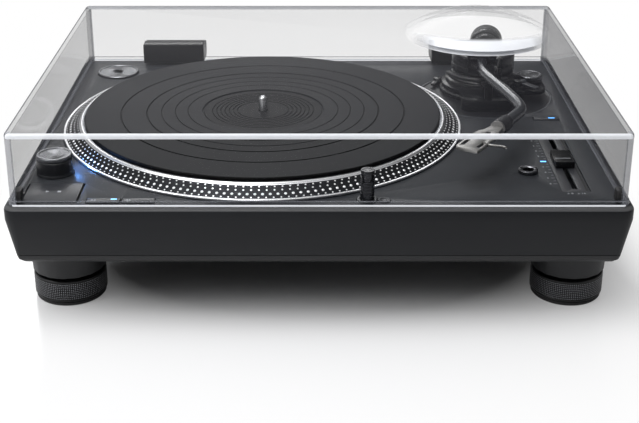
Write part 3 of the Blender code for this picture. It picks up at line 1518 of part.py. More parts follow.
def make_cover(finishes):
    """The clear dust cover: a shell with rounded edges, a bead round its foot and a dome over the arm."""
    width = plinth_width - 2 * lid_side_inset
    depth = plinth_depth - lid_front_inset - lid_back_inset
    foot = seat_gap - lid_height
    at = Vector((0, front_y + lid_front_inset + depth / 2, deck_z + lid_height))
    levels = [(lid_edge_round - side, height - lid_edge_round)
              for side, height in arc(0, 0, lid_edge_round, 0, math.pi / 2, 3)]
    levels.append((0, lid_bead_height + lid_bead_width - lid_height))
    levels.append((-lid_bead_width, lid_bead_height - lid_height))
    levels.append((-lid_bead_width, foot))
    cover = lofted("dust_cover", width, depth, lid_corner, levels, at, finishes["clear"])

    ball = (dome_radius * dome_radius + dome_rise * dome_rise) / (2 * dome_rise)
    centre = dome_rise - ball
    fillet_radius = math.sqrt((ball + dome_root) ** 2 - (dome_root - centre) ** 2)
    meet = math.asin(fillet_radius / (ball + dome_root))
    outside = arc(0, centre, ball, 0, meet, 6)
    outside += arc(fillet_radius, dome_root, dome_root, meet - math.pi, -math.pi, 2)[1:]
    outside += [(fillet_radius, -lid_roof / 2), (0, -lid_roof / 2)]
    dome_at = Vector((pivot.x - dome_left, pivot.y - dome_forward, deck_z + lid_height))
    dome = turned("dome", outside, dome_at, segments=32)
    boolean(cover, 'UNION', dome)

    frame_at_height = deck_z + seat_gap
    frame_top = hinge_box_top + seat_gap + lid_bead_height
    frame_width = hinge_width + 2 * seat_gap + 2 * lid_bead_height
    back_face = back_y - lid_back_inset
    for side in (-1, 1):
        frame_at = Vector((hinge_axis(side).x, back_face, frame_at_height))
        frame = block(f"notch_frame_{side + 2}", (frame_width, 2 * lid_bead_width, frame_top - seat_gap), frame_at)
        boolean(cover, 'UNION', frame)

    inside_size = (width - 2 * lid_wall, depth - 2 * lid_wall)
    inside_levels = [(0, -lid_roof), (0, foot - overrun)]
    inside = lofted("cover_inside", *inside_size, lid_corner, inside_levels, at)
    inner_ball = ball - lid_wall
    reach = math.acos((-lid_roof - overrun - centre) / inner_ball)
    bowl = arc(0, centre, inner_ball, 0, reach, 6) + [(0, -lid_roof - overrun)]
    inner_dome = turned("dome_inside", bowl, dome_at, segments=32)
    boolean(cover, 'DIFFERENCE', inside, inner_dome)
    for side in (-1, 1):
        notch_at = Vector((hinge_axis(side).x, back_face - lid_wall / 2, deck_z - overrun))
        notch = block(f"hinge_notch_{side + 2}",
                      (hinge_width + 2 * seat_gap, 2 * lid_wall + 2 * lid_bead_width, hinge_box_top + seat_gap + overrun),
                      notch_at)
        boolean(cover, 'DIFFERENCE', notch)


def make_hinges(cabinet, finishes):
    """Friction hinges: a box clamped through the cover's back wall, and a socket block in the cabinet."""
    back_face = back_y - lid_back_inset
    box_front = back_face - lid_wall - hinge_box_depth
    box_height = hinge_box_top - hinge_box_bottom
    for side, word in ((-1, "left"), (1, "right")):
        axis = hinge_axis(side)
        box_at = Vector((axis.x, (back_face + box_front) / 2, deck_z + hinge_box_bottom))
        box = block("hinge_" + word, (hinge_width, back_face - box_front, box_height), box_at, finishes["black_plastic"])
        edge_round(box, hinge_edge, steps=2)
        arm_height = hinge_axis_height + knuckle_radius / 2 - hinge_box_bottom
        for end in (-1, 1):
            centre_x = axis.x + end * (hinge_width - knuckle_outer) / 2
            arm_at = Vector((centre_x, (back_face - lid_wall + axis.y) / 2, deck_z + hinge_box_bottom))
            arm = block(f"hinge_{word}_arm_{end + 2}",
                        (knuckle_outer, axis.y - back_face + lid_wall, arm_height), arm_at)
            knuckle = rod(f"hinge_{word}_knuckle_{end + 2}", knuckle_radius, knuckle_outer,
                          Vector((centre_x - knuckle_outer / 2, axis.y, axis.z)), segments=12, axis='X')
            boolean(box, 'UNION', arm, knuckle)
        pin = rod(f"hinge_{word}_pin", hinge_pin_radius, hinge_width - knuckle_outer,
                  axis - Vector(((hinge_width - knuckle_outer) / 2, 0, 0)), segments=8, axis='X')
        boolean(box, 'UNION', pin)

        block_depth = socket_depth_inside + socket_proud
        block_y = back_y + socket_proud - block_depth / 2
        socket_at = Vector((axis.x, block_y, deck_z - socket_sink))
        socket = block("hinge_socket_" + word, (socket_width, block_depth, socket_sink - seat_gap), socket_at,
                       finishes["black_plastic"])
        seat = block(f"hinge_seat_{word}",
                     (socket_width + 2 * seat_gap, socket_depth_inside + seat_gap + overrun, socket_sink + seat_gap + overrun),
                     Vector((axis.x, back_y + (overrun - socket_depth_inside - seat_gap) / 2,
                             deck_z - socket_sink - seat_gap)))
        boolean(cabinet, 'DIFFERENCE', seat)
        web_top = hinge_axis_height - knuckle_radius + hinge_box_bottom
        web = block(f"hinge_{word}_web",
                    (knuckle_middle, axis.y - back_y, web_top + socket_sink / 2),
                    Vector((axis.x, (axis.y + back_y) / 2, deck_z - socket_sink / 2)))
        middle = rod(f"hinge_{word}_middle", knuckle_radius, knuckle_middle,
                     axis - Vector((knuckle_middle / 2, 0, 0)), segments=12, axis='X')
        bore = rod(f"hinge_{word}_bore", hinge_pin_radius + seat_gap, knuckle_middle + 2 * overrun,
                   axis - Vector((knuckle_middle / 2 + overrun, 0, 0)), segments=8, axis='X')
        boolean(socket, 'UNION', web, middle)
        boolean(socket, 'DIFFERENCE', bore)


def make_tub(name, width, at, finishes):
    """A shallow plastic tub, open to the back and below, for the sockets of one terminal bay."""
    setback = side_draw_in + base_edge_round
    depth = tub_depth - setback
    size = (width - 2 * seat_gap, depth, tub_height - seat_gap)
    middle_y = setback + depth / 2 - seat_gap
    tub = block(name, size, at - Vector((0, middle_y, 0)), finishes["black_plastic"])
    inner = (width - 2 * seat_gap - 2 * tub_wall, depth, tub_height - seat_gap - tub_wall + overrun)
    space = block(name + "_space", inner, at - Vector((0, middle_y - tub_wall, overrun)))
    boolean(tub, 'DIFFERENCE', space)
    return tub


def make_terminals(cabinet, base, finishes):
    """The signal sockets with their earth post, and the mains inlet, in two bays under the back edge."""
    phono_at = Vector((right_x - phono_from_right, back_y, ground_clearance))
    mains_at = Vector((left_x + mains_from_left, back_y, ground_clearance))
    bays = (("phono_bay", phono_tub_width, phono_at), ("mains_bay", mains_tub_width, mains_at))
    for name, width, at in bays:
        size = (width, tub_depth + overrun, tub_height + overrun)
        for thing, suffix in ((cabinet, "_upper"), (base, "_lower")):
            cut = block(name + suffix, size, at - Vector((0, (tub_depth - overrun) / 2, overrun)))
            boolean(thing, 'DIFFERENCE', cut)

    make_tub("phono_panel", phono_tub_width, phono_at, finishes)
    wall_face = back_y - tub_depth + seat_gap + tub_wall
    middle = ground_clearance + (tub_height - tub_wall) / 2
    for index, word in ((-1, "left"), (1, "right")):
        jack_at = Vector((phono_at.x + index * jack_spacing / 2 - jack_spacing / 2, wall_face + seat_gap, middle))
        bore_foot = jack_flange
        profile = [
            (0, bore_foot),
            (jack_bore_radius, bore_foot),
            (jack_bore_radius, jack_length),
            (jack_radius, jack_length),
            (jack_radius, jack_flange),
            (jack_flange_radius, jack_flange),
            (jack_flange_radius, 0),
            (0, 0),
        ]
        turned("phono_jack_" + word, profile, jack_at, finishes["gold"], segments=12, tilt=-math.pi / 2)
    post_at = Vector((phono_at.x + jack_spacing + jack_flange_radius, wall_face + seat_gap, middle))
    post = [
        (0, post_length),
        (post_radius - post_stem_radius / 4, post_length),
        (post_radius, post_length - post_stem_radius / 4),
        (post_radius, post_length / 3),
        (post_stem_radius, post_length / 3),
        (post_stem_radius, 0),
        (0, 0),
    ]
    turned("ground_post", post, post_at, finishes["steel"], segments=12, tilt=-math.pi / 2)

    inlet = make_tub("mains_inlet", mains_tub_width, mains_at, finishes)
    body_foot = middle - inlet_height / 2
    body_at = Vector((mains_at.x, wall_face + (inlet_length - tub_wall) / 2, body_foot))
    body = block("inlet_body", (inlet_width, inlet_length + tub_wall, inlet_height), body_at)
    mouth = block("inlet_mouth", (inlet_width - 2 * inlet_wall, inlet_length, inlet_height - 2 * inlet_wall),
                  Vector((mains_at.x, wall_face + inlet_length / 2 + inlet_wall, body_foot + inlet_wall)),
                  round_radius=inlet_corner, steps=2)
    boolean(inlet, 'UNION', body)
    boolean(inlet, 'DIFFERENCE', mouth)
    for index in (-1, 1):
        pin_at = Vector((mains_at.x + index * inlet_pin_spacing / 2, wall_face, middle))
        pin = rod("inlet_pin_" + str(index + 2), inlet_pin_radius, inlet_length - inlet_wall, pin_at,
                  segments=8, axis='Y')
        boolean(inlet, 'UNION', pin)


colours = {
    "satin_black": finish("satin_black", (0.017, 0.018, 0.021), 0.38),
    "deck_grey": finish("deck_grey", (0.040, 0.043, 0.050), 0.40),
    "black_metal": finish("black_metal", (0.012, 0.013, 0.016), 0.32, metallic=0.4),
    "arm_black": finish("arm_black", (0.030, 0.033, 0.038), 0.28, metallic=0.5),
    "black_plastic": finish("black_plastic", (0.010, 0.010, 0.011), 0.45),
    "rubber": finish("rubber", (0.014, 0.014, 0.016), 0.75),
    "cast_rim": finish("cast_rim", (0.16, 0.17, 0.18), 0.30, metallic=0.9),
    "spun_metal": finish("spun_metal", (0.060, 0.064, 0.072), 0.30, metallic=0.8),
    "silver": finish("silver", (0.55, 0.55, 0.55), 0.30, metallic=0.9),
    "steel": finish("steel", (0.50, 0.51, 0.53), 0.28, metallic=1.0),
    "gold": finish("gold", (0.72, 0.50, 0.20), 0.25, metallic=1.0),
    "copper": finish("copper", (0.42, 0.17, 0.07), 0.35, metallic=0.9),
    "board": finish("board", (0.02, 0.09, 0.04), 0.55),
    "blue_lens": finish("blue_lens", (0.45, 0.62, 1.0), 0.15, alpha=0.7),
    "clear": finish("clear", (0.92, 0.93, 0.96), 0.04, alpha=0.2),
}

plinth = make_plinth(colours)
tray = make_base(colours)
make_feet(colours)
make_motor(colours)
make_platter(colours)
make_power_column(colours)
make_buttons(plinth, colours)
make_stylus_light(plinth, colours)
make_fader(plinth, colours)
make_deck_fittings(plinth, colours)

make_arm_base(colours)
make_platform(colours)
make_cueing(colours)
arm_carrier = empty("arm_frame", pivot, parked)
make_small_arm_parts(colours)
make_rest(arm_carrier, colours)
make_turret(arm_carrier, colours)
shell_carrier = make_arm(arm_carrier, colours)
make_headshell(shell_carrier, colours)

make_cover(colours)
make_hinges(plinth, colours)
make_terminals(plinth, tray, colours)
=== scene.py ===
import math

import bmesh
import bpy
from mathutils import Matrix, Vector


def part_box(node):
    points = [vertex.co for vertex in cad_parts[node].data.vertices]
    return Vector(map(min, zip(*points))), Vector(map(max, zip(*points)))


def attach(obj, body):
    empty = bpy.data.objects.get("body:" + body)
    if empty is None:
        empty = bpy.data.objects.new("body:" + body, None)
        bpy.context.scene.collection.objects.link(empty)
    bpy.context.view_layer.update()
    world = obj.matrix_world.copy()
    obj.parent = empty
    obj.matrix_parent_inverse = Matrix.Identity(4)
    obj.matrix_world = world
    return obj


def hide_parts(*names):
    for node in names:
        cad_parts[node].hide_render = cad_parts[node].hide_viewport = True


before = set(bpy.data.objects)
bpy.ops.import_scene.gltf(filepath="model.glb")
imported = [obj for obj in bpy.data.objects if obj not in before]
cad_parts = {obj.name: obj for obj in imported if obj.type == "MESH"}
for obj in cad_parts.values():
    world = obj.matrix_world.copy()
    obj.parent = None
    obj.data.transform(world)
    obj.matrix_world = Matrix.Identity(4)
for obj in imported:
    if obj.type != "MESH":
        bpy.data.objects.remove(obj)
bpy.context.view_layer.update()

# The view: a little above the deck and from straight in front, as a shop shows such a deck.
# The lens is long and the whole deck with its closed cover fills the picture from side to side.
scene = bpy.context.scene
scene.view_settings.view_transform = 'Standard'
lens = bpy.data.cameras.new("view")
lens.lens = 69.697
lens.sensor_width = 36.0
lens.shift_x = 0.00855
lens.shift_y = -0.10
view = bpy.data.objects.new("view", lens)
view.location = (-0.00351, -0.98819, 0.45842)
view.rotation_euler = (math.radians(90.0 - 21.611), 0, 0)
scene.collection.objects.link(view)
scene.camera = view


# The studio: a pale floor that runs out of sight, and a bright room. One wide soft lamp hangs overhead,
# one stands at the left in front and one behind, so that the black paint still shows its shape.
floor_mesh = bpy.data.meshes.new("floor")
bm = bmesh.new()
bmesh.ops.create_grid(bm, x_segments=1, y_segments=1, size=6.0)
bm.to_mesh(floor_mesh)
bm.free()
floor = bpy.data.objects.new("floor", floor_mesh)
scene.collection.objects.link(floor)


class Wire:
    """A socket of a finish's nodes. Sums on it add the Math nodes that do them."""

    def __init__(self, tree, socket=None):
        self.tree = tree
        self.socket = socket

    def node(self, kind, sockets=None, output=0, **settings):
        """Adds a node, sets it, then gives its sockets their values or wires; returns one output."""
        made = self.tree.nodes.new(kind)
        for key, value in settings.items():
            setattr(made, key, value)
        for key, value in (sockets or {}).items():
            if isinstance(value, Wire):
                self.tree.links.new(value.socket, made.inputs[key])
            else:
                made.inputs[key].default_value = value
        return Wire(self.tree, made.outputs[output])

    def math(self, operation, first, second=0.0, clamp=False):
        return self.node('ShaderNodeMath', {0: first, 1: second}, operation=operation, use_clamp=clamp)

    def __add__(self, other):
        return self.math('ADD', self, other)

    def __radd__(self, other):
        return self.math('ADD', other, self)

    def __sub__(self, other):
        return self.math('SUBTRACT', self, other)

    def __rsub__(self, other):
        return self.math('SUBTRACT', other, self)

    def __mul__(self, other):
        return self.math('MULTIPLY', self, other)

    def __pow__(self, other):
        return self.math('POWER', self, other)

    def __gt__(self, other):
        return self.math('GREATER_THAN', self, other)

    def __lt__(self, other):
        return self.math('LESS_THAN', self, other)

    def __abs__(self):
        return self.math('ABSOLUTE', self)

    def most(self, other):
        return self.math('MAXIMUM', self, other)

    def rise(self, start, slope):
        """Nothing up to a start, then a climb at a slope, to 1 at the most."""
        return self.math('MULTIPLY', self - start, slope, clamp=True)

    def ray(self, kind):
        """1 where the ray that looks is of one kind."""
        return self.node('ShaderNodeLightPath', output="Is %s Ray" % kind)


class Finish(Wire):
    """A named finish: a Principled shader whose plain numbers are set once, with places to wire detail."""

    def __init__(self, name, colour, roughness, **numbers):
        self.material = bpy.data.materials.new(name)
        self.material.use_nodes = True
        super().__init__(self.material.node_tree)
        self.shader = self.tree.nodes["Principled BSDF"]
        self.shader.inputs["Base Color"].default_value = (*colour, 1.0)
        self.shader.inputs["Roughness"].default_value = roughness
        for key, value in numbers.items():
            self.shader.inputs[key.replace("_", " ")].default_value = value
        self.place = self.node('ShaderNodeTexCoord', output="Object")

    def feed(self, socket, wire):
        self.tree.links.new(wire.socket, self.shader.inputs[socket])

    def noise(self, scale, detail=3.0, stretch=(1, 1, 1)):
        """Cloudy noise in object space, stretched along an axis where the real grain runs that way."""
        spot = self.node('ShaderNodeMapping', {"Vector": self.place, "Scale": stretch})
        return self.node('ShaderNodeTexNoise', {"Vector": spot, "Scale": scale, "Detail": detail})

    def local(self, place):
        """The three coordinates of a point in a place's own directions."""
        back = place.inverted()
        spot = self.node('ShaderNodeMapping', {"Vector": self.place, "Location": back.translation,
                                               "Rotation": back.to_euler()})
        return [self.node('ShaderNodeSeparateXYZ', {0: spot}, output=axis) for axis in range(3)]

    def round(self, place):
        """How far a point is from the Z axis of a place, and how high along it."""
        x, y, z = self.local(place)
        return (x * x + y * y) ** 0.5, z

    def mix(self, mask, first, second):
        """A colour between two others."""
        pair = {0: mask}
        for key, colour in ((6, first), (7, second)):
            pair[key] = colour if isinstance(colour, Wire) else (*colour, 1.0)
        return self.node('ShaderNodeMix', pair, output=2, data_type='RGBA')

    def bump(self, height, distance, strength):
        lifted = self.node('ShaderNodeBump', {"Height": height, "Distance": distance, "Strength": strength})
        self.feed("Normal", lifted)


white_floor = Finish("white_floor", (0.80, 0.80, 0.81), 0.20, Specular_IOR_Level=0.9)
x, y, z = white_floor.local(Matrix())
all_round = ((x * x * 0.8 + y * y) ** 0.5 - 0.175) * 4.5
beside = (abs(x) - 0.22) * 14.0
away = white_floor.math('ADD', all_round.most(beside), 0.0, clamp=True)
ray = white_floor.ray("Camera") + white_floor.ray("Transmission") + white_floor.ray("Glossy") * 0.35
glow = white_floor.node('ShaderNodeEmission', {"Color": (1, 1, 1, 1), "Strength": 1.0})
lit = Wire(white_floor.tree, white_floor.shader.outputs[0])
both = white_floor.node('ShaderNodeMixShader', {0: ray * away, 1: lit, 2: glow})
white_floor.tree.links.new(both.socket, white_floor.tree.nodes["Material Output"].inputs["Surface"])
floor_mesh.materials.append(white_floor.material)

room = bpy.data.worlds.new("room")
room.use_nodes = True
air = Wire(room.node_tree)
direction = air.node('ShaderNodeTexCoord')
rightward = air.node('ShaderNodeSeparateXYZ', {0: direction})
upward = air.node('ShaderNodeSeparateXYZ', {0: direction}, output=2)
lean = air.math('MINIMUM', rightward.most(-0.3), 0.3)
seen = air.math('ADD', air.ray("Camera"), air.ray("Transmission"), clamp=True)
ceiling = (upward.rise(0.38, 3.0) * (0.85 - lean * 0.9)).most(seen)
brightness = ceiling.most(air.ray("Glossy") * (0.34 - lean * 0.75))
backdrop = room.node_tree.nodes["Background"]
backdrop.inputs["Color"].default_value = (1.0, 1.0, 1.0, 1.0)
room.node_tree.links.new(brightness.socket, backdrop.inputs["Strength"])
scene.world = room


def soft_lamp(name, spot, toward, width, depth, watts, colour=(1, 1, 1)):
    """A soft box hung at one spot and turned to face another."""
    box = bpy.data.lights.new(name, 'AREA')
    box.shape = 'RECTANGLE'
    box.size = width
    box.size_y = depth
    box.energy = watts
    box.color = colour
    lamp = bpy.data.objects.new(name, box)
    lamp.location = spot
    lamp.rotation_euler = (Vector(toward) - Vector(spot)).to_track_quat('-Z', 'Y').to_euler()
    scene.collection.objects.link(lamp)


soft_lamp("top_box", (-0.25, -0.20, 1.5), (0, 0, 0.1), 0.9, 0.7, 15)
soft_lamp("left_box", (-1.2, -0.8, 1.2), (0, 0, 0.1), 0.7, 0.7, 9)
soft_lamp("back_box", (-0.25, 1.7, 1.0), (0, -0.1, 0.1), 1.2, 0.35, 7)


# The plinth: a heavy die casting sprayed in fine satin black, with soft edges all round, closed below
# by a moulded tray whose collars stand over the feet.
def at(point, turn=0.0):
    """A place in the object's space, turned about the upright."""
    return Matrix.Translation(Vector(point)) @ Matrix.Rotation(math.radians(turn), 4, 'Z')


def piece(name, bm, body, finish, node=None, edge=0.0, angle=30.0):
    """Makes a finished piece: softens its sharp edges, smooths between them and sets it on its body."""
    bmesh.ops.remove_doubles(bm, verts=bm.verts, dist=0.000005)
    bmesh.ops.recalc_face_normals(bm, faces=bm.faces)
    limit = math.radians(angle)
    if edge:
        sharp = [e for e in bm.edges if len(e.link_faces) == 2 and e.calc_face_angle(0) > limit]
        bmesh.ops.bevel(bm, geom=sharp, offset=edge, segments=2, profile=0.5, affect='EDGES',
                        clamp_overlap=True, material=-1)
    for face in bm.faces:
        face.smooth = True
    for e in bm.edges:
        e.smooth = not (len(e.link_faces) == 2 and e.calc_face_angle(0) > limit)
    mesh = bpy.data.meshes.new(name)
    bm.to_mesh(mesh)
    bm.free()
    mesh.materials.append(finish.material)
    thing = bpy.data.objects.new(name, mesh)
    scene.collection.objects.link(thing)
    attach(thing, body)
    if node:
        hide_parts(node)


def softened(name, node, body, finish, edge, angle=30.0):
    """A piece that is a CAD solid, merged, with its flat faces whole again and its edges soft."""
    bm = bmesh.new()
    bm.from_mesh(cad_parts[node].data)
    bmesh.ops.remove_doubles(bm, verts=bm.verts, dist=0.000005)
    bmesh.ops.dissolve_limit(bm, angle_limit=math.radians(0.5), verts=bm.verts, edges=bm.edges,
                             use_dissolve_boundaries=False)
    piece(name, bm, body, finish, node, edge, angle)


deck_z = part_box("arm_base_plate")[1].z + 0.0002
paint = Finish("plinth_paint", (0.0105, 0.0115, 0.0135), 0.42, Specular_IOR_Level=0.20)
grain = paint.noise(2600.0, 2.0)
cloud = paint.noise(14.0, 4.0, stretch=(1, 1, 3))
paint.feed("Roughness", 0.38 + grain * 0.07 + cloud * 0.05)
x, y, z = paint.local(at((0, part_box("cabinet")[0].y, deck_z)))
# The deck's top is painted lighter than the walls, though both are one paint: painted light from above.
wall_film = paint.mix(cloud, (0.0085, 0.0092, 0.0108), (0.0125, 0.0135, 0.0160))
deck_painted_light = paint.mix(cloud, (0.021, 0.0228, 0.0265), (0.029, 0.0315, 0.0362))
top_painted_light_mix = paint.mix(z > -0.0006, wall_film, deck_painted_light)
# A strip along the deck's front edge is painted lighter still: a painted highlight.
ledge_painted_highlight = (y < 0.0085) * (z > -0.0012)
paint.feed("Base Color", paint.mix(ledge_painted_highlight, top_painted_light_mix, (0.060, 0.061, 0.064)))
paint.bump(grain, 0.00002, 0.35)
softened("plinth_body", "cabinet", "chassis", paint, 0.0003, 28)

tray_paint = Finish("tray_paint", (0.0095, 0.0100, 0.0115), 0.5, Specular_IOR_Level=0.4)
grain = tray_paint.noise(2200.0, 2.0)
tray_paint.feed("Roughness", 0.46 + grain * 0.10)
tray_paint.bump(grain, 0.00003, 0.4)
softened("tray_body", "base", "chassis", tray_paint, 0.0004, 28)


# The platter: a cast aluminium turntable whose sloping rim carries four rows of raised strobe dots
# between two bright turned lips, over a hub that sits on the motor's rotor.
mm = 0.001


def over(node, height):
    """A place over the middle of a CAD solid, at a height."""
    low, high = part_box(node)
    return at(((low.x + high.x) / 2, (low.y + high.y) / 2, height))


def lathe(profile, place, steps=96, bm=None):
    """Spins a profile of radius and height in millimetres round the Z axis of a place."""
    bm = bm or bmesh.new()
    before = set(bm.verts)
    points = [bm.verts.new((radius * mm, 0, height * mm)) for radius, height in profile]
    line = [bm.edges.new(pair) for pair in zip(points, points[1:])]
    bmesh.ops.spin(bm, geom=points + line, cent=(0, 0, 0), axis=(0, 0, 1), dvec=(0, 0, 0),
                   angle=2 * math.pi, steps=steps, use_merge=True)
    fresh = [v for v in bm.verts if v not in before]
    bmesh.ops.remove_doubles(bm, verts=fresh, dist=0.000002)
    fresh = [v for v in bm.verts if v not in before]
    bmesh.ops.transform(bm, matrix=place, verts=fresh)
    return bm


def rod(bm, place, radius, length, segments, end_radius=None):
    """A round bar along the Z axis of a place, with its middle there."""
    bmesh.ops.create_cone(bm, cap_ends=True, segments=segments, radius1=radius,
                          radius2=end_radius or radius, depth=length, matrix=place)
    return bm


spindle_place = over("spindle", deck_z)
spindle_at = spindle_place.translation
rim_metal = Finish("rim_metal", (0.30, 0.31, 0.33), 0.30, Metallic=1.0)
reach, z = rim_metal.round(spindle_place)
slope = (reach > 0.1530) * (reach < 0.1641)
rings = rim_metal.node('ShaderNodeCombineXYZ', {0: reach})
turning = rim_metal.node('ShaderNodeTexNoise', {"Vector": rings, "Scale": 9000.0, "Detail": 1.0})
lip_colour = rim_metal.mix(reach < 0.1504, (0.80, 0.81, 0.83), (0.22, 0.23, 0.25))
rim_metal.feed("Base Color", rim_metal.mix(slope, lip_colour, (0.018, 0.019, 0.021)))
rim_metal.feed("Roughness", 0.20 + turning * 0.16 + slope * 0.12)
rim_top, slope_start, slope_run, slope_drop = 8.5, 152.6, 11.6, 6.3
rim = [
    (4.2, rim_top), (148.8, rim_top), (148.8, 9.4), (149.2, 9.7), (151.2, 9.7), (152.0, 9.3),
    (slope_start, rim_top), (slope_start + slope_run, rim_top - slope_drop), (164.6, 2.2), (165.0, 2.4),
    (165.6, 2.4), (166.0, 2.0), (166.0, 0.8), (165.8, 0.6), (160.0, 0.6), (148.2, 5.5), (22.0, 5.5),
    (22.0, 0.6), (4.2, 0.6), (4.2, rim_top),
]
piece("platter_casting", lathe(rim, spindle_place, 240), "platter_body", rim_metal, "platter",
      angle=24)

bright_dot = Finish("strobe_dot", (0.90, 0.91, 0.93), 0.22, Metallic=0.35)
speck = bright_dot.noise(900.0, 1.0)
bright_dot.feed("Roughness", 0.10 + speck * 0.14)
dots = bmesh.new()
fall = Matrix.Rotation(math.atan2(slope_drop, slope_run), 4, 'Y')
for radius, count, size in ((154.2, 170, 0.78), (157.0, 174, 0.82), (160.2, 180, 1.24), (163.0, 186, 0.74)):
    height = rim_top - (radius - slope_start) * slope_drop / slope_run
    for index in range(count):
        seat = spindle_place @ at((0, 0, 0), 360 * index / count) @ at((radius * mm, 0, height * mm)) @ fall
        rod(dots, seat, size * mm * 1.06, 0.6 * mm, 10, size * mm * 0.72)
piece("strobe_dots", dots, "platter_body", bright_dot, angle=60)


# The mat: ribbed black rubber laid in the platter, with a sunk middle for the record's label and fine
# grooves in groups so that a record lies on narrow rings.
mat_top = 12.3
label_edge = 50.0
rubber = Finish("mat_rubber", (0.0110, 0.0118, 0.0135), 0.58, Specular_IOR_Level=0.12)
grit = rubber.noise(3200.0, 2.0)
haze = rubber.noise(9.0, 3.0)
rubber.feed("Roughness", 0.50 + grit * 0.10 + haze * 0.08)
rubber.bump(grit, 0.00003, 0.3)
reach, z = rubber.round(spindle_place)
# Painted shade in the hollows: the grooves are painted near black, and the sunk middle under the label darker
# than the face.
label = reach < (label_edge - 0.2) * mm
outer_groove = (z < (mat_top - 0.12) * mm) * (reach > (label_edge + 0.8) * mm)
groove_painted_shade = outer_groove + (z < (mat_top - 0.92) * mm) * label
face_painted_shade_mix = rubber.mix(label, (0.0115, 0.0122, 0.0140), (0.0060, 0.0064, 0.0074))
rubber.feed("Base Color", rubber.mix(groove_painted_shade, face_painted_shade_mix, (0.0008, 0.0008, 0.0009)))

fine_grooves = (21.5, 25.0, 28.5, 32.0, 35.5, 39.0, 42.5, 63.0, 73.5, 85.0)
deep_grooves = (label_edge, 97.0, 118.5)
level = mat_top - 0.8
outline = [(4.2, mat_top - 3.4), (4.2, level)]
for radius in sorted(fine_grooves + deep_grooves):
    half, depth = (0.8, 1.0) if radius in deep_grooves else (0.5, 0.7)
    if radius == label_edge:
        depth = 0.4
    low, quarter = level - depth, half / 2
    outline += [(radius - half, level), (radius - quarter, low), (radius + quarter, low)]
    if radius == label_edge:
        level = mat_top
        outline += [(radius + half, level - 0.15), (radius + half + 0.15, level)]
    else:
        outline.append((radius + half, level))
outline += [(147.4, level), (148.0, level - 0.3), (148.3, level - 0.9), (148.3, level - 3.4),
            (4.2, level - 3.4)]
piece("record_mat", lathe(outline, spindle_place, 200), "platter_body", rubber, "platter_mat",
      angle=20)


# The spindle: a ground steel pin with a domed tip that rises through the mat.
# A flange below carries the platter, and the shaft goes down into the bearing.
ground = Finish("ground_steel", (0.56, 0.57, 0.59), 0.22, Metallic=1.0)
lines = ground.noise(1500.0, 2.0, stretch=(1, 1, 12))
ground.feed("Roughness", 0.16 + lines * 0.14)
pin = [(0, 24.3), (1.2, 24.2), (2.2, 23.7), (3.0, 22.8), (3.6, 21.5), (3.6, 0.3), (19.0, 0.3), (19.0, -2.7),
       (5.0, -2.7), (5.0, -33.0), (0, -33.0)]
piece("centre_spindle", lathe(pin, spindle_place, 48), "platter_body", ground, "spindle", angle=40)


# The lamp column: a painted drum on the deck's left side with a window cut towards the platter's dots,
# and behind the window the lamp that lights them blue.
def satin(name, colour, roughness, depth=0.00002, **numbers):
    """A sprayed or moulded finish: a fine grain, and a faint cloudiness in its colour and gloss."""
    finish = Finish(name, colour, roughness, **numbers)
    grain = finish.noise(2400.0, 2.0)
    cloud = finish.noise(35.0, 3.0)
    finish.feed("Roughness", grain * 0.08 + cloud * 0.07 + (roughness - 0.075))
    darker, lighter = [part * 0.82 for part in colour], [part * 1.18 for part in colour]
    finish.feed("Base Color", finish.mix(cloud, darker, lighter))
    finish.bump(grain, depth, 0.35)
    return finish


def turned_metal(name, colour, roughness, place, pitch=0.0004, metallic=1.0, sheen=0.0):
    """A turned or spun finish: fine rings round the Z axis of a place vary its colour and gloss."""
    finish = Finish(name, colour, roughness, Metallic=metallic, Anisotropic=sheen)
    reach, z = finish.round(place)
    spot = finish.node('ShaderNodeCombineXYZ', {0: reach, 1: z})
    rings = finish.node('ShaderNodeTexNoise', {"Vector": spot, "Scale": 1.0 / pitch, "Detail": 2.0})
    finish.feed("Roughness", rings * 0.16 + (roughness - 0.08))
    darker, lighter = [part * 0.88 for part in colour], [part * 1.12 for part in colour]
    finish.feed("Base Color", finish.mix(rings, darker, lighter))
    return finish


def wheel(section, place, start, sweep, steps, bm=None):
    """A closed section in millimetres, carried round part of the Z axis of a place."""
    bm = bm or bmesh.new()
    before = set(bm.verts)
    turn = at((0, 0, 0), start)
    points = [turn @ Vector((radius * mm, 0, height * mm)) for radius, height in section]
    face = bm.faces.new([bm.verts.new(point) for point in points])
    bmesh.ops.spin(bm, geom=[face] + list(face.edges) + list(face.verts), axis=(0, 0, 1), cent=(0, 0, 0),
                   angle=math.radians(sweep), steps=steps)
    bmesh.ops.transform(bm, matrix=place, verts=[v for v in bm.verts if v not in before])
    return bm


def toward_spindle(place):
    """The way from a place to the spindle, as a turn about the upright in degrees."""
    way = spindle_at - place.translation
    return math.degrees(math.atan2(way.y, way.x))


column_place = over("strobe_column", deck_z + 0.0003)
column_paint = satin("column_paint", (0.014, 0.015, 0.018), 0.34)
window_turn = toward_spindle(column_place)
drum = lathe([(0, 6.0), (3.4, 6.0), (3.4, 2.2), (13.4, 2.2), (13.9, 2.0), (14.4, 0.8), (14.4, 0), (5.8, 0),
              (5.8, -6), (0, -6)], column_place)
wheel([(3.4, 2.0), (13.8, 2.0), (13.8, 10.4), (3.4, 10.4)], column_place, window_turn + 18, 324, 80, drum)
lid = [(3.4, 11.8), (13.5, 11.8), (13.8, 11.5), (13.8, 10.3), (3.4, 10.3), (3.4, 11.8)]
lathe(lid, column_place, bm=drum)
piece("lamp_column", drum, "chassis", column_paint, "strobe_column", angle=35)

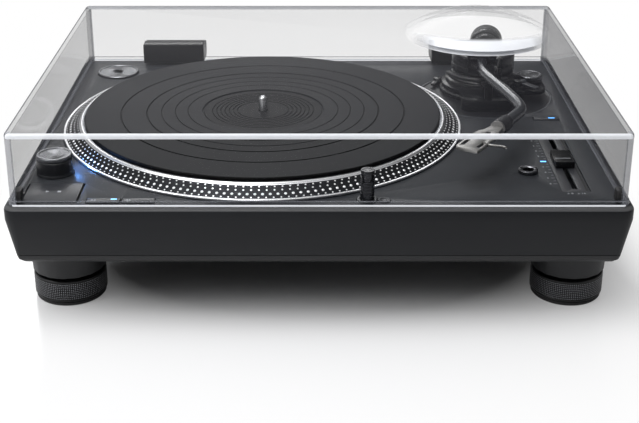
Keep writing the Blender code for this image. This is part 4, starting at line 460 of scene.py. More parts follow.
lamp_glass = Finish("lamp_glass", (0.55, 0.72, 1.0), 0.25, Emission_Strength=3.2)
x, y, z = lamp_glass.local(column_place)
middle_glow = 1.0 - ((z - 0.0062) * 150.0) ** 2
lamp_glass.feed("Emission Color", lamp_glass.mix(middle_glow, (0.04, 0.22, 1.0), (0.75, 0.90, 1.0)))
pane = [(11.0, 2.4), (13.65, 2.4), (13.65, 10.0), (11.0, 10.0)]
window = wheel(pane, column_place, window_turn - 16, 32, 12)
piece("lamp_window", window, "chassis", lamp_glass, "strobe_window", angle=35)
glow_at = column_place @ at((0, 0, 0), window_turn) @ Vector((0.0150, 0, 0.0085))
soft_lamp("lamp_glow", glow_at, (-0.160, -0.100, deck_z - 0.004), 0.004, 0.004, 0.013, (0.10, 0.35, 1.0))


# The power switch: a turned and anodised ring that twists on top of the column, dished, with a bright
# sheen in two sectors and fine teeth round its edge.
def knurl(bm, place, points, every, cut, drawn_in, outside, low=-1.0, high=1.0):
    """Draws in some of the points round a turned edge, between two heights, so that it has teeth."""
    for v in bm.verts:
        spot = place.inverted() @ v.co
        tooth = round(math.degrees(math.atan2(spot.y, spot.x)) / 360 * points) % every
        if tooth < cut and spot.xy.length > outside and low < spot.z < high:
            spot.xy *= drawn_in
            v.co = place @ spot


knob_place = over("strobe_column", deck_z + 0.0124)
knob_metal = turned_metal("knob_metal", (0.150, 0.154, 0.165), 0.26, knob_place, sheen=0.85)
switch = lathe([(0, 2.2), (6.0, 2.3), (11.0, 2.7), (11.4, 3.3), (13.1, 3.3), (13.5, 2.9), (13.8, 2.3),
                (13.8, 0.4), (13.5, 0.0), (3, 0.0), (3, -5), (0, -5)], knob_place, 216)
knurl(switch, knob_place, 216, 3, 1, 0.975, 0.01372, low=0.0003)
piece("power_switch", switch, "power_knob_body", knob_metal, "power_knob", angle=28)


# The keys: a wide start and stop plate and two speed keys along the front edge, and the pitch reset key
# by the arm, moulded in dark grey and set in black wells. They carry printed numbers and small lamps.
def slab(size, place, corner=0.0, steps=6, bm=None):
    """A block standing on a place, with its upright corners rounded."""
    bm = bm or bmesh.new()
    made = bmesh.ops.create_cube(bm, size=1.0)["verts"]
    bmesh.ops.scale(bm, vec=size, verts=made)
    bmesh.ops.translate(bm, vec=(0, 0, size[2] / 2), verts=made)
    if corner:
        own = [e for e in bm.edges if set(e.verts) <= set(made)]
        upright = [e for e in own if abs(e.verts[0].co.z - e.verts[1].co.z) > size[2] / 2]
        rounded = bmesh.ops.bevel(bm, geom=upright, offset=corner, segments=steps, profile=0.5,
                                  affect='EDGES', material=-1)["verts"]
        made = [v for v in set(made) | set(rounded) if v.is_valid]
    bmesh.ops.transform(bm, matrix=place, verts=made)
    return bm


def solved(thing):
    """The mesh of an object as its modifiers or its curve leave it, to be worked on."""
    scene.collection.objects.link(thing)
    bpy.context.view_layer.update()
    depsgraph = bpy.context.evaluated_depsgraph_get()
    bm = bmesh.new()
    bm.from_mesh(bpy.data.meshes.new_from_object(thing.evaluated_get(depsgraph)))
    bpy.data.objects.remove(thing, do_unlink=True)
    return bm


def printed(name, text, size, place, body):
    """Small printed figures, made a thin mesh and laid on a surface."""
    letters = bpy.data.curves.new(name, 'FONT')
    letters.body = text
    letters.size = size
    letters.extrude = 0.00002
    letters.resolution_u = 2
    letters.align_x = 'CENTER'
    letters.align_y = 'CENTER'
    bm = solved(bpy.data.objects.new(name, letters))
    bmesh.ops.transform(bm, matrix=place, verts=bm.verts)
    piece(name, bm, body, print_white)


def small_lamp(name, width, depth, spot, body):
    """A small blue lamp let into a surface, with its corners rounded."""
    piece(name, slab((width, depth, 0.00012), at(spot), 0.0004, 2), body, blue_lamp)


key_paint = satin("key_paint", (0.030, 0.032, 0.037), 0.36)
print_white = Finish("print_white", (0.42, 0.43, 0.46), 0.5)
fleck = print_white.noise(4000.0, 2.0)
print_white.feed("Base Color", print_white.mix(fleck, (0.30, 0.31, 0.34), (0.48, 0.49, 0.52)))
blue_lamp = Finish("blue_lamp", (0.10, 0.35, 0.90), 0.3, Emission_Strength=2.2)
spread = blue_lamp.noise(900.0, 1.0)
blue_lamp.feed("Emission Color", blue_lamp.mix(spread, (0.02, 0.22, 0.85), (0.20, 0.60, 1.0)))
keys = {"start_stop_button": "start_button_body", "speed_button_1": "speed_button_1_body",
        "speed_button_2": "speed_button_2_body", "reset_button": "reset_button_body"}
for node, body in keys.items():
    softened(node + "_key", node, body, key_paint, 0.00025)

key_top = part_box("speed_button_1")[1].z + 0.00003
lamp_z = key_top - 0.00006
for node, figure in (("speed_button_1", "33"), ("speed_button_2", "45")):
    low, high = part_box(node)
    figure_place = at((low.x + 0.0050, (low.y + high.y) / 2, key_top))
    printed("speed_figure_" + figure, figure, 0.0042, figure_place, keys[node])
low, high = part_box("speed_button_1")
small_lamp("speed_lamp", 0.0044, 0.0016, (high.x - 0.0046, high.y - 0.0026, lamp_z), "speed_button_1_body")
low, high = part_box("reset_button")
small_lamp("reset_lamp", 0.0056, 0.0016, (high.x - 0.0064, (low.y + high.y) / 2, lamp_z), "reset_button_body")
low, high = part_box("start_stop_button")
mark_at = Vector(((low.x + high.x) / 2, (low.y + high.y) / 2 + 0.001, key_top))
mark_out = Vector((0.0045, 0, 0))
marks = rod(bmesh.new(), at(mark_at - mark_out, -90), 0.0018, 0.00004, 3)
slab((0.0026, 0.0026, 0.00004), at(mark_at + mark_out - Vector((0, 0, 0.00002))), bm=marks)
piece("start_stop_marks", marks, "start_button_body", print_white)


# The stylus light: a black turned post that rises from a collar in the deck and shines across the record
# from a lens in its head, with the round key beside it that lets it up.
def carve(bm, *tools, operation='DIFFERENCE'):
    """Cuts a shape with others, or joins them to it, exactly."""
    things = []
    for shape in (bm, *tools):
        bmesh.ops.remove_doubles(shape, verts=shape.verts, dist=0.000002)
        bmesh.ops.recalc_face_normals(shape, faces=shape.faces)
        mesh = bpy.data.meshes.new("carving")
        shape.to_mesh(mesh)
        shape.free()
        things.append(bpy.data.objects.new("carving", mesh))
    for tool in things[1:]:
        scene.collection.objects.link(tool)
        step = things[0].modifiers.new("cut", 'BOOLEAN')
        step.operation = operation
        step.object = tool
        step.solver = 'EXACT'
    result = solved(things[0])
    for tool in things[1:]:
        bpy.data.objects.remove(tool, do_unlink=True)
    bmesh.ops.remove_doubles(result, verts=result.verts, dist=0.000002)
    return result


sideways = Matrix.Rotation(math.radians(90), 4, 'Y')
post_place = over("stylus_light", deck_z)
post_metal = turned_metal("post_metal", (0.020, 0.021, 0.025), 0.26, post_place, metallic=0.6, sheen=0.5)
post = lathe([(0, 23.2), (3.0, 23.2), (3.3, 23.5), (4.7, 23.5), (5.1, 23.1), (5.1, 15.0), (5.0, 14.8),
              (5.0, 14.5), (5.1, 14.3), (5.1, -7.5), (0, -7.5)], post_place)
head = at(post_place.translation + Vector((0, 0, 0.020)), toward_spindle(post_place))
hole = rod(bmesh.new(), head @ at((0.0053, 0, 0)) @ sideways, 0.0024, 0.004, 32, 0.0027)
piece("light_post", carve(post, hole), "stylus_light_body", post_metal, "stylus_light")

warm_glass = Finish("post_glass", (0.50, 0.54, 0.60), 0.10, Specular_IOR_Level=0.8)
warm_glass.bump(warm_glass.noise(1400.0, 1.0), 0.0001, 0.4)
lens_cap = lathe([(0, 1.1), (1.0, 0.9), (1.8, 0.4), (2.3, -0.3), (2.3, -0.8), (0, -0.8)],
                 head @ at((0.0038, 0, 0)) @ sideways, 32)
piece("post_lens", lens_cap, "stylus_light_body", warm_glass, "light_lens", angle=50)
collar_metal = turned_metal("collar_metal", (0.030, 0.032, 0.036), 0.3, post_place, metallic=0.7, sheen=0.5)
collar = lathe([(5.6, 0.4), (5.9, 0.7), (7.0, 0.8), (7.6, 0.5), (7.8, 0.1), (7.8, -3.0), (5.6, -3.0),
                (5.6, 0.4)], post_place)
piece("light_ring", collar, "chassis", collar_metal, "light_collar", angle=35)
button_place = over("light_button", deck_z)
button_metal = turned_metal("button_metal", (0.040, 0.042, 0.047), 0.3, button_place, metallic=0.8, sheen=0.7)
button = lathe([(0, 0.4), (3.0, 0.6), (3.8, 0.9), (4.3, 0.8), (4.6, 0.4), (4.6, -6.2), (0, -6.2)],
               button_place)
piece("light_key", button, "light_button_body", button_metal, "light_button", angle=35)


# The pitch fader: a sunk plate with a long slot and a printed scale beside it, and a scooped knob of black
# plastic with a light line across its top, that slides along the slot.
plate_finish = satin("fader_plate_paint", (0.022, 0.023, 0.027), 0.40)
softened("fader_panel", "fader_plate", "chassis", plate_finish, 0.0002)
low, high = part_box("fader_plate")
plate_mid = Vector(((low.x + high.x) / 2, (low.y + high.y) / 2, high.z))
plate_length = high.y - low.y
print_z = deck_z + 0.00003
# Near-black painted shade: a dark strip along the plate stands for the shade in its groove, and a dark block
# deep in the well under the slot stands for the shade there.
slot_painted_shade = Finish("slot_painted_shade", (0.0020, 0.0020, 0.0024), 0.6)
slot_painted_shade.bump(slot_painted_shade.noise(1500.0), 0.00002, 0.3)
groove_at = plate_mid + Vector((0.0082, 0, -0.00004))
groove = slab((0.0013, plate_length - 0.006, 0.00010), at(groove_at), 0.0004, 2)
piece("fader_groove_painted_shade", groove, "chassis", slot_painted_shade)
well = slab((0.0036, plate_length - 0.0124, 0.0004), at(plate_mid - Vector((0, 0, 0.0088))), 0.0012, 3)
piece("fader_well_painted_shade", well, "chassis", slot_painted_shade)
scale = bmesh.new()
scale_step, long_mark, short_mark = 0.0055, 0.0030, 0.0018
for step in range(-8, 9):
    if step:
        wide = short_mark if step % 2 else long_mark
        mark = (low.x - long_mark + (long_mark - wide) / 2, plate_mid.y + step * scale_step, deck_z + 0.00002)
        slab((wide, 0.00035, 0.00004), at(mark), bm=scale)
piece("fader_scale", scale, "chassis", print_white)
for step in (-8, -6, -4, -2, 2, 4, 6, 8):
    name = "scale_figure_" + ("low_" if step < 0 else "high_") + str(abs(step))
    figure_place = at((low.x - 0.0066, plate_mid.y + step * scale_step, print_z))
    printed(name, str(abs(step)), 0.0032, figure_place, "chassis")
small_lamp("fader_lamp", 0.0046, 0.0020, (low.x - 0.0046, plate_mid.y, deck_z - 0.00004), "chassis")
printed("fader_range", "± 8   ± 16", 0.0034, at((plate_mid.x - 0.001, low.y - 0.0040, print_z)), "chassis")

knob_plastic = satin("knob_plastic", (0.0050, 0.0052, 0.0060), 0.30, Specular_IOR_Level=0.15)
low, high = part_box("fader_knob")
knob_mid = Vector(((low.x + high.x) / 2, (low.y + high.y) / 2, plate_mid.z + 0.0004))
scoop_radius, scoop_floor = 0.0420, 0.0035
scoop_at = knob_mid + Vector((0, -0.0010, scoop_floor + scoop_radius))
scoop = rod(bmesh.new(), at(scoop_at) @ sideways, scoop_radius, 0.03, 160)
grip = carve(slab((0.0148, 0.0255, 0.0054), at(knob_mid), 0.0012, 3), scoop)
slab((0.0028, 0.0075, 0.0090), at(knob_mid - Vector((0, 0, 0.0080))), bm=grip)
piece("fader_grip", grip, "fader_body", knob_plastic, "fader_knob", edge=0.0004)
grip_line = slab((0.0120, 0.0005, 0.0002), at(knob_mid + Vector((0, -0.0010, scoop_floor - 0.00005))))
piece("fader_grip_line", grip_line, "fader_body", print_white)


# Two turned fittings in the deck: the socket that keeps a spare headshell, and the loose adaptor for
# singles, which rests in its dish and has a spun face.
stand_place = over("headshell_stand", deck_z + 0.0003)
stand_metal = turned_metal("stand_metal", (0.130, 0.132, 0.142), 0.24, stand_place, sheen=0.85)
stand = lathe([(0, -4.0), (4.2, -4.0), (4.2, 2.0), (4.7, 2.6), (6.2, 3.2), (7.0, 3.0), (7.5, 2.3), (7.5, 0),
               (5.8, 0), (5.8, -6), (0, -6)], stand_place)
piece("spare_shell_socket", stand, "chassis", stand_metal, "headshell_stand")
adaptor_place = over("single_adaptor", deck_z - 0.0085)
adaptor_metal = turned_metal("adaptor_metal", (0.170, 0.174, 0.185), 0.24, adaptor_place, sheen=0.85)
puck = lathe([(3.7, 9.8), (4.1, 9.2), (5.2, 9.3), (5.4, 9.8), (16.8, 9.8), (17.4, 10.4), (18.4, 10.4),
              (19.0, 9.8), (19.1, 9.0), (19.1, 0.4), (18.7, 0.0), (4.0, 0.0), (3.7, 0.4), (3.7, 9.8)],
             adaptor_place, 128)
piece("single_puck", puck, "adaptor_body", adaptor_metal, "single_adaptor", angle=28)


# The arm base: a round plate let into the deck inside a bright rim, the black helicoid ring that sets the
# arm's height, with its scale, and the lever that locks it.
def plug(radius, low, high):
    """The profile of a solid round, in millimetres, to be spun."""
    return [(0, high), (radius, high), (radius, low), (0, low)]


plate_place = over("arm_base_plate", deck_z)
low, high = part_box("height_ring")
origin = (low + high) / 2
origin.z = deck_z
pivot_place = at(origin)
plate_metal = turned_metal("plate_metal", (0.016, 0.017, 0.020), 0.36, plate_place, metallic=0.3)
reach, z = plate_metal.round(plate_place)
bright = (z > -0.00045) * (reach > 0.0582)
plate_metal.feed("Base Color", plate_metal.mix(bright, (0.016, 0.017, 0.020), (0.085, 0.090, 0.100)))
plate = lathe([(0, -1.2), (57.2, -1.2), (57.8, -0.9), (58.4, -0.4), (58.8, -0.2), (59.8, -0.2), (60.0, -0.5),
               (60.0, -3.8), (0, -3.8)], plate_place, 160)
guide = lathe([(0, -1.4), (26.0, -1.4), (26.0, -9.5), (0, -9.5)], pivot_place)
bore = lathe(plug(21.5, -10.5, 1), pivot_place)
for shape in (plate, guide, bore):
    centres = [v for v in shape.verts if len(v.link_edges) > 90]
    bmesh.ops.dissolve_verts(shape, verts=centres)
pin_hole = lathe(plug(1.9, -3.6, 1), at((0.110722, 0.100121, deck_z)), 24)
plate = carve(carve(plate, guide, operation='UNION'), bore, pin_hole)
piece("arm_plate", plate, "chassis", plate_metal, "arm_base_plate", angle=25)

ring_metal = satin("ring_metal", (0.0070, 0.0076, 0.0090), 0.27, Specular_IOR_Level=0.45)
ring = lathe([(21.5, 4.4), (34.3, 4.4), (34.5, 4.2), (34.7, 3.4), (36.6, 3.3), (37.4, 2.8), (37.9, 2.1),
              (38.0, 1.4), (38.0, -0.6), (37.8, -0.9), (21.5, -0.9), (21.5, 4.4)], pivot_place, 288)
knurl(ring, pivot_place, 288, 4, 1, 0.985, 0.0376, high=0.0018)
piece("height_dial", ring, "height_ring_body", ring_metal, "height_ring", angle=25)
ticks = bmesh.new()
for step in range(36):
    long = 0.0009 if step % 6 else 0.0016
    slab((0.00025, long, 0.00004), pivot_place @ at((0, 0, 0), step * 9) @ at((0, 0.0357, 0.00338)), bm=ticks)
piece("height_scale", ticks, "height_ring_body", print_white)
for step in range(6):
    figure_place = pivot_place @ at((0, 0, 0), step * 54 + 180) @ at((0, -0.0324, 0.00444))
    printed("height_figure_" + str(step), str(step), 0.0026, figure_place, "height_ring_body")
softened("height_lock", "height_lock_lever", "lock_lever_body", ring_metal, 0.0003, 32)


# The arm platform: a black casting that rises on the helicoid, with a stepped neck for the bearing, a lobe
# in front for the arm rest, a wing for the anti-skating dial, and the housings of the arm lift.
cast_black = satin("cast_black", (0.0055, 0.0060, 0.0075), 0.25, Specular_IOR_Level=0.4)
casting = lathe([(0, 21.3), (8, 21.3), (8, 19.4), (26.3, 19.4), (27.2, 19.0), (27.7, 18.2), (28.0, 17.0),
                 (28.0, 15.6), (28.7, 15.0), (29.8, 14.6), (30.5, 13.8), (30.5, 12.8), (31.1, 12.4),
                 (32.4, 12.2), (33.0, 11.6), (33.0, 8.4), (33.8, 8.1), (35.8, 8.0), (36.4, 7.7), (36.5, 5.0),
                 (21.0, 5.0), (21.0, -7.5), (0, -7.5)], pivot_place, 144)
lobe = slab((0.045, 0.019, 0.0102), at(origin + Vector((-0.0017, -0.0592 + 0.0095, -0.0009))), 0.008, 8)
bridge = slab((0.0448, 0.0512, 0.0042), at(origin + Vector((-0.0017, -0.0256, 0.0051))), 0.001, 2)
wing = slab((0.0335, 0.046, 0.0034), at(origin + Vector((0.0372, -0.011, 0.0053))), 0.013, 12)
for addition in (lobe, bridge, wing):
    casting = carve(casting, addition, operation='UNION')
lift_circle, lift_turn = 0.034, math.radians(28)
lift_out = Vector((lift_circle * math.sin(lift_turn), -lift_circle * math.cos(lift_turn), 0))
lift_place = at(origin + lift_out)
barrel = lathe([(0, 15.0), (4.5, 15.0), (5.3, 14.7), (5.8, 14.2), (5.8, 5.4), (0, 5.4)], lift_place, 40)
cue_place = at((0.18224, 0.06016, deck_z), 34.0)
cue_axle_z = 0.0128
lug = slab((0.0050, 0.0080, 0.0110), cue_place @ at((-0.0058, 0, 0.0050)), 0.0014, 3)
casting = carve(casting, barrel, lug, operation='UNION')
dial_place = over("anti_skate_dial", deck_z + 0.0092)
piston_hole = lathe(plug(4.5, 8.8, 30), lift_place, 32)
dial_well = lathe([(0, 7.6), (11.8, 7.6), (11.8, -0.3), (2.3, -0.3), (2.3, -2.5), (0, -2.5)], dial_place, 64)
pin_hole = rod(bmesh.new(), cue_place @ at((-0.0058, 0, cue_axle_z)) @ sideways, 0.0018, 0.0070, 24)
casting = carve(casting, piston_hole, dial_well, pin_hole)
piece("arm_casting", casting, "platform_body", cast_black, "arm_platform", edge=0.0003,
      angle=32)


# The anti-skating dial: a small turned knob, dished, with a two-sector sheen and fine teeth, that sits in
# its well on the wing. A short printed line on its face is its pointer.
dial_metal = turned_metal("dial_metal", (0.150, 0.152, 0.162), 0.26, dial_place, sheen=0.85)
dial = lathe([(0, 5.4), (6.0, 5.5), (9.5, 5.8), (10.0, 6.2), (10.7, 6.2), (11.1, 5.8), (11.3, 5.0),
              (11.3, 0.4), (11.0, 0.0), (2.0, 0.0), (2.0, -2.0), (0, -2.0)], dial_place, 180)
knurl(dial, dial_place, 180, 3, 1, 0.972, 0.01125, low=0.0003, high=0.0055)
piece("bias_dial", dial, "skate_dial_body", dial_metal, "anti_skate_dial", angle=28)
pointer = slab((0.0006, 0.0036, 0.00006), dial_place @ at((0, 0.0070, 0.00545)))
piece("bias_pointer", pointer, "skate_dial_body", print_white)


# The cueing lever and the arm lift: a flat grey handle hinged in a lug of the casting, and a curved bar
# on a piston that it lifts under the arm.
lever_paint = satin("lever_paint", (0.050, 0.053, 0.060), 0.32, Metallic=0.4)
handle = slab((0.0062, 0.0195, 0.0022), cue_place @ at((0, -0.00975, 0.0117)), 0.0021, 5)
rod(handle, cue_place @ at((0, 0, cue_axle_z)) @ sideways, 0.0032, 0.0060, 32)
rod(handle, cue_place @ at((-0.00265, 0, cue_axle_z)) @ sideways, 0.0014, 0.0113, 20)
piece("cueing_lever", handle, "cue_lever_body", lever_paint, "cue_lever", edge=0.0003,
      angle=32)
bar = wheel([(31.9, 19.9), (32.6, 20.6), (35.4, 20.6), (36.1, 19.9), (36.1, 17.6), (31.9, 17.6)], pivot_place,
            -162, 104, 40)
lathe(plug(4.0, 9.5, 18.4), lift_place, 32, bar)
lift_paint = satin("lift_paint", (0.010, 0.0104, 0.0118), 0.42)
piece("lift_bar", bar, "arm_lift_body", lift_paint, "arm_lift", edge=0.0002, angle=32)


# The arm rest and its clamp: a black moulded cradle on the lobe, and the hinged finger that swings over
# the tube to hold it.
moulded = satin("moulded_black", (0.0055, 0.0058, 0.0066), 0.33, Specular_IOR_Level=0.3)
softened("rest_cradle", "arm_rest", "platform_body", moulded, 0.0003, 32)
softened("rest_clamp", "arm_clamp", "clamp_body", moulded, 0.00025, 32)


# The bearing housing: a slotted black drum that swings level on its post, with a turned cap on the bridge
# over the tube and a slotted steel screw over each of the arm's pivots.
arm_place = at(origin, -10.2)
axle_z = 0.029
axle_place = arm_place @ at((0, 0, axle_z))
gap_width = 0.0246
drum = lathe([(0, 36.4), (26.4, 36.4), (27.2, 36.2), (27.8, 35.6), (28.0, 34.8), (28.0, 27.0), (27.7, 26.8),
              (27.7, 26.2), (28.0, 26.0), (28.0, 20.6), (27.6, 20.0), (0, 20.0)], arm_place, 128)
gap_height, mouth_height, bridge_half = 0.0131, 0.0170, 0.01145
slot = slab((gap_width, 0.060, gap_height), at((0, 0, 0.0218)))
for side in (-1, 1):
    bmesh.ops.bisect_plane(slot, geom=[*slot.verts, *slot.edges, *slot.faces],
                           plane_co=(0, side * bridge_half, 0), plane_no=(0, 1, 0))
tops = [f for f in slot.faces if f.normal.z > 0.9 and abs(f.calc_center_median().y) > bridge_half]
raised = bmesh.ops.extrude_face_region(slot, geom=tops)["geom"]
bmesh.ops.translate(slot, vec=(0, 0, mouth_height - gap_height),
                    verts=[part for part in raised if isinstance(part, bmesh.types.BMVert)])
bmesh.ops.delete(slot, geom=tops, context='FACES')
bmesh.ops.transform(slot, matrix=arm_place, verts=slot.verts)
post_hole = lathe(plug(8.3, 19, 23), arm_place, 48)
pins = rod(bmesh.new(), axle_place @ sideways, 0.0023, 0.042, 24)
housing_metal = satin("housing_metal", (0.0055, 0.0060, 0.0076), 0.22, Specular_IOR_Level=0.45)
drum = carve(drum, slot, post_hole, pins)
piece("bearing_drum", drum, "turret_body", housing_metal, "arm_turret", edge=0.0003, angle=32)
cap_place = arm_place @ at((0, 0, 0.0367))
cap_metal = turned_metal("cap_metal", (0.022, 0.023, 0.027), 0.25, cap_place, metallic=0.7, sheen=0.7)
cap = lathe([(0, 6.6), (5.0, 6.7), (8.6, 7.0), (9.4, 7.0), (10.4, 6.6), (11.2, 5.8), (11.5, 5.0), (11.5, 3.6),
             (11.3, 3.4), (11.3, 3.0), (11.8, 2.8), (11.8, 0.0), (0, 0.0)], cap_place)
piece("bearing_cap", cap, "turret_body", cap_metal, "turret_cap", angle=28)
screw_steel = turned_metal("screw_steel", (0.32, 0.33, 0.35), 0.28, cap_place)
for side in (-1, 1):
    seat = arm_place @ at((side * 0.0200, 0, 0.0366))
    screw = lathe([(0, 0.1), (1.8, 0.1), (2.2, -0.2), (2.2, -0.8), (0, -0.8)], seat, 24)
    screw = carve(screw, slab((0.0006, 0.0060, 0.0006), seat @ at((0, 0, -0.0003))))
    piece("pivot_screw_" + str(side + 2), screw, "turret_body", screw_steel)


# The tonearm: a lacquered tube bent in an S, with a lengthwise sheen, crossed by its bearing axle and
# carried on behind by a stub for the weight.
def pipe(points, radius, place):
    """A round tube along a smooth line through points, made a mesh with its ends closed."""
    curve = bpy.data.curves.new("pipe", 'CURVE')
    curve.dimensions = '3D'
    curve.bevel_depth = radius
    curve.bevel_resolution = 10
    curve.resolution_u = 10
    curve.use_fill_caps = True
    spline = curve.splines.new('BEZIER')
    spline.bezier_points.add(len(points) - 1)
    for knot, point in zip(spline.bezier_points, points):
        knot.co = point
        knot.handle_left_type = 'AUTO'
        knot.handle_right_type = 'AUTO'
    bm = solved(bpy.data.objects.new("pipe", curve))
    bmesh.ops.transform(bm, matrix=place, verts=bm.verts)
    return bm


arm_reach = 0.230
shell_turn = 22
line_shares = [
    (0.0, 0.0), (0.087, 0.0), (0.165, 0.0096), (0.226, 0.0304), (0.326, 0.0739), (0.426, 0.1174),
    (0.487, 0.1413), (0.539, 0.1565), (0.587, 0.1600), (0.630, 0.1474), (0.678, 0.1300), (0.726, 0.1107),
]
line = [Vector((side * arm_reach, -share * arm_reach, axle_z)) for share, side in line_shares]
tube_end = 0.774 * arm_reach
line.append(Vector(((arm_reach - tube_end) * math.tan(math.radians(shell_turn)), -tube_end, axle_z)))
lacquer = satin("arm_lacquer", (0.040, 0.043, 0.050), 0.24, depth=0.000004, Metallic=0.55, Coat_Weight=0.4)
tube = pipe(line, 0.0047, arm_place)
rod(tube, axle_place @ sideways, 0.0052, 0.0222, 40)
rod(tube, axle_place @ sideways, 0.0020, 0.0410, 24)
backward = Matrix.Rotation(math.radians(-90), 4, 'X')
stub_place = axle_place @ backward
stub_radius = 5.0
swing = -arm_place.to_euler().z
stub_end = (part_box("arm_tube")[1].y - origin.y - stub_radius * mm * math.sin(swing)) / math.cos(swing) / mm
lathe([(0, stub_end), (4.4, stub_end), (stub_radius, stub_end - 0.6), (stub_radius, 0), (0, 0)], stub_place,
      40, tube)
piece("arm_pipe", tube, "arm_body", lacquer, "arm_tube", angle=35)


# The counterweight on its threaded carrier, and the numbered force ring in front of it: black turned steel
# with a fluted grip band, and white figures round the ring.
carrier_metal = turned_metal("carrier_metal", (0.45, 0.46, 0.48), 0.26, stub_place)
carrier_start = 0.0335
carrier = lathe([(5.3, 27.5), (8.0, 27.5), (8.5, 27.0), (8.5, 0.0), (5.3, 0.0), (5.3, 27.5)],
                stub_place @ at((0, 0, carrier_start)), 64)
piece("weight_sleeve", carrier, "weight_carrier_body", carrier_metal, "weight_insert", angle=35)
ring_place = stub_place @ at((0, 0, carrier_start + 0.0003))
scale_ring = lathe([(8.8, 4.5), (12.1, 4.5), (12.5, 4.2), (12.5, 1.7), (12.2, 1.2), (11.2, 0.2), (10.8, 0.0),
                    (8.8, 0.0), (8.8, 4.5)], ring_place)
piece("force_ring", scale_ring, "force_dial_body", ring_metal, "force_dial", angle=28)
ticks = bmesh.new()
for step in range(40):
    long = 0.0008 if step % 5 else 0.0014
    slab((0.00022, 0.00006, long), ring_place @ at((0, 0, 0), step * 9) @ at((0, 0.01250, 0.0020)), bm=ticks)
piece("force_scale", ticks, "force_dial_body", print_white)
slant = at((0, 0.01185, 0.00082)) @ Matrix.Rotation(math.radians(-135), 4, 'X') @ at((0, 0, 0), 180)
for step in range(8):
    figure_place = ring_place @ at((0, 0, 0), step * 45 + 4) @ slant
    printed("force_figure_" + str(step), str(step % 4), 0.0021, figure_place, "force_dial_body")
weight_place = stub_place @ at((0, 0, carrier_start + 0.0051))
weight_metal = turned_metal("weight_metal", (0.018, 0.019, 0.022), 0.27, weight_place, metallic=0.5)
weight = lathe([(8.8, 21.5), (13.0, 21.5), (14.0, 21.2), (14.7, 20.5), (14.9, 19.8), (14.9, 8.6), (14.5, 8.2),
                (14.2, 7.4), (14.2, 7.0), (14.5, 6.2), (15.0, 5.8), (15.0, 1.2), (14.7, 0.4), (14.0, 0.0),
                (8.8, 0.0), (8.8, 21.5)], weight_place, 240)
knurl(weight, weight_place, 240, 4, 2, 0.978, 0.01485, low=0.0080)
piece("balance_weight", weight, "counterweight_body", weight_metal, "counterweight", angle=26)


# The headshell and its locking nut: a knurled black collar on the tube's end, and the bead-blasted silver
# shell that it draws in, flared, pierced with two slots and a row of holes, with a wire finger lift.
shell_place = arm_place @ at(line[-1], -shell_turn)
nut_place = shell_place @ backward
nut_metal = satin("nut_metal", (0.016, 0.017, 0.020), 0.30, Metallic=0.5)
nut = lathe([(5.0, 15.0), (5.2, 15.0), (5.8, 14.9), (6.3, 14.4), (6.3, 11.8), (6.1, 11.5), (6.3, 11.2),
             (6.3, 1.5), (6.0, 0.6), (5.6, 0.0), (5.0, 0.0), (5.0, 15.0)], nut_place, 120)
knurl(nut, nut_place, 120, 4, 2, 0.955, 0.0062, low=0.0014, high=0.0113)
piece("shell_nut", nut, "collar_nut_body", nut_metal, "collar_nut", angle=28)

blasted = Finish("blasted_silver", (0.58, 0.575, 0.565), 0.36, Metallic=0.9)
grit = blasted.noise(5000.0, 2.0)
streak = blasted.noise(60.0, 3.0)
blasted.feed("Roughness", grit * 0.12 + streak * 0.08 + 0.26)
blasted.feed("Base Color", blasted.mix(streak, (0.23, 0.228, 0.222), (0.36, 0.356, 0.346)))
blasted.bump(grit, 0.00002, 0.5)
softened("silver_shell", "headshell", "headshell_body", blasted, 0.00035, 32)


# The feet: each is a rubber-soled threaded foot with an anodised ring round it, knurled in fine squares
# between two smooth lips, that is turned to level the deck.
wall_radius, wall_top, square_pitch, square_count, square_rows = 27.2, 19.2, 1.5, 112, 9
wall_foot = wall_top - square_pitch * square_rows
sole_rubber = satin("sole_rubber", (0.010, 0.010, 0.011), 0.68)
for number in ("1", "2", "3", "4"):
    foot_place = over("foot_ring_" + number, 0.0)
    knurled = satin("knurled_ring_" + number, (0.0075, 0.0078, 0.0088), 0.34, Metallic=0.3)
    x, y, z = knurled.local(foot_place)
    turns = knurled.math('ARCTAN2', y, x) * (square_count / (2 * math.pi))
    column = knurled.math('FRACT', turns + 100, 0.0)
    row = knurled.math('FRACT', (z - wall_foot * mm) * (1 / (square_pitch * mm)) + 100, 0.0)
    # The tops of the knurl's squares are painted light and the lines between them dark: a painted highlight
    # and painted shade.
    square_painted_highlight = (column > 0.22) * (column < 0.78) * (row > 0.22) * (row < 0.78) * (z > 0.0058) * (z < 0.0191)
    knurled.feed("Base Color", knurled.mix(square_painted_highlight, (0.0040, 0.0042, 0.0048), (0.170, 0.173, 0.185)))
    wall = [(wall_radius, wall_top - square_pitch * row) for row in range(square_rows + 1)]
    ring = lathe([(10.3, 21.1), (25.8, 21.1), (26.8, 20.9), (27.4, 20.4), (27.5, 19.6), *wall, (27.5, 5.1),
                  (27.5, 4.3), (26.9, 3.6), (26.2, 3.3), (10.3, 3.3), (10.3, 21.1)], foot_place, square_count)
    squares = []
    for face in ring.faces:
        radii = [(v.co - foot_place.translation).xy.length for v in face.verts]
        if all(abs(radius - wall_radius * mm) < 0.00001 for radius in radii):
            squares.append(face)
    bmesh.ops.recalc_face_normals(ring, faces=ring.faces)
    bmesh.ops.inset_individual(ring, faces=squares, thickness=0.00030, depth=0.00038)
    piece("foot_grip_" + number, ring, "foot_ring_%s_body" % number, knurled,
          "foot_ring_" + number, angle=24)
    sole = lathe([(0, 43.8), (4.6, 43.8), (5.0, 43.4), (5.0, 21.4), (10.0, 21.4), (10.0, 3.0), (26.2, 3.0),
                  (26.6, 2.6), (26.6, 1.0), (26.0, 0.3), (25.4, 0.0), (21.5, 0.0), (21.0, 0.6), (20.0, 0.6),
                  (19.5, 0.0), (0, 0.0)], foot_place, 80)
    piece("foot_sole_" + number, sole, "foot_%s_body" % number, sole_rubber, "foot_stud_" + number)
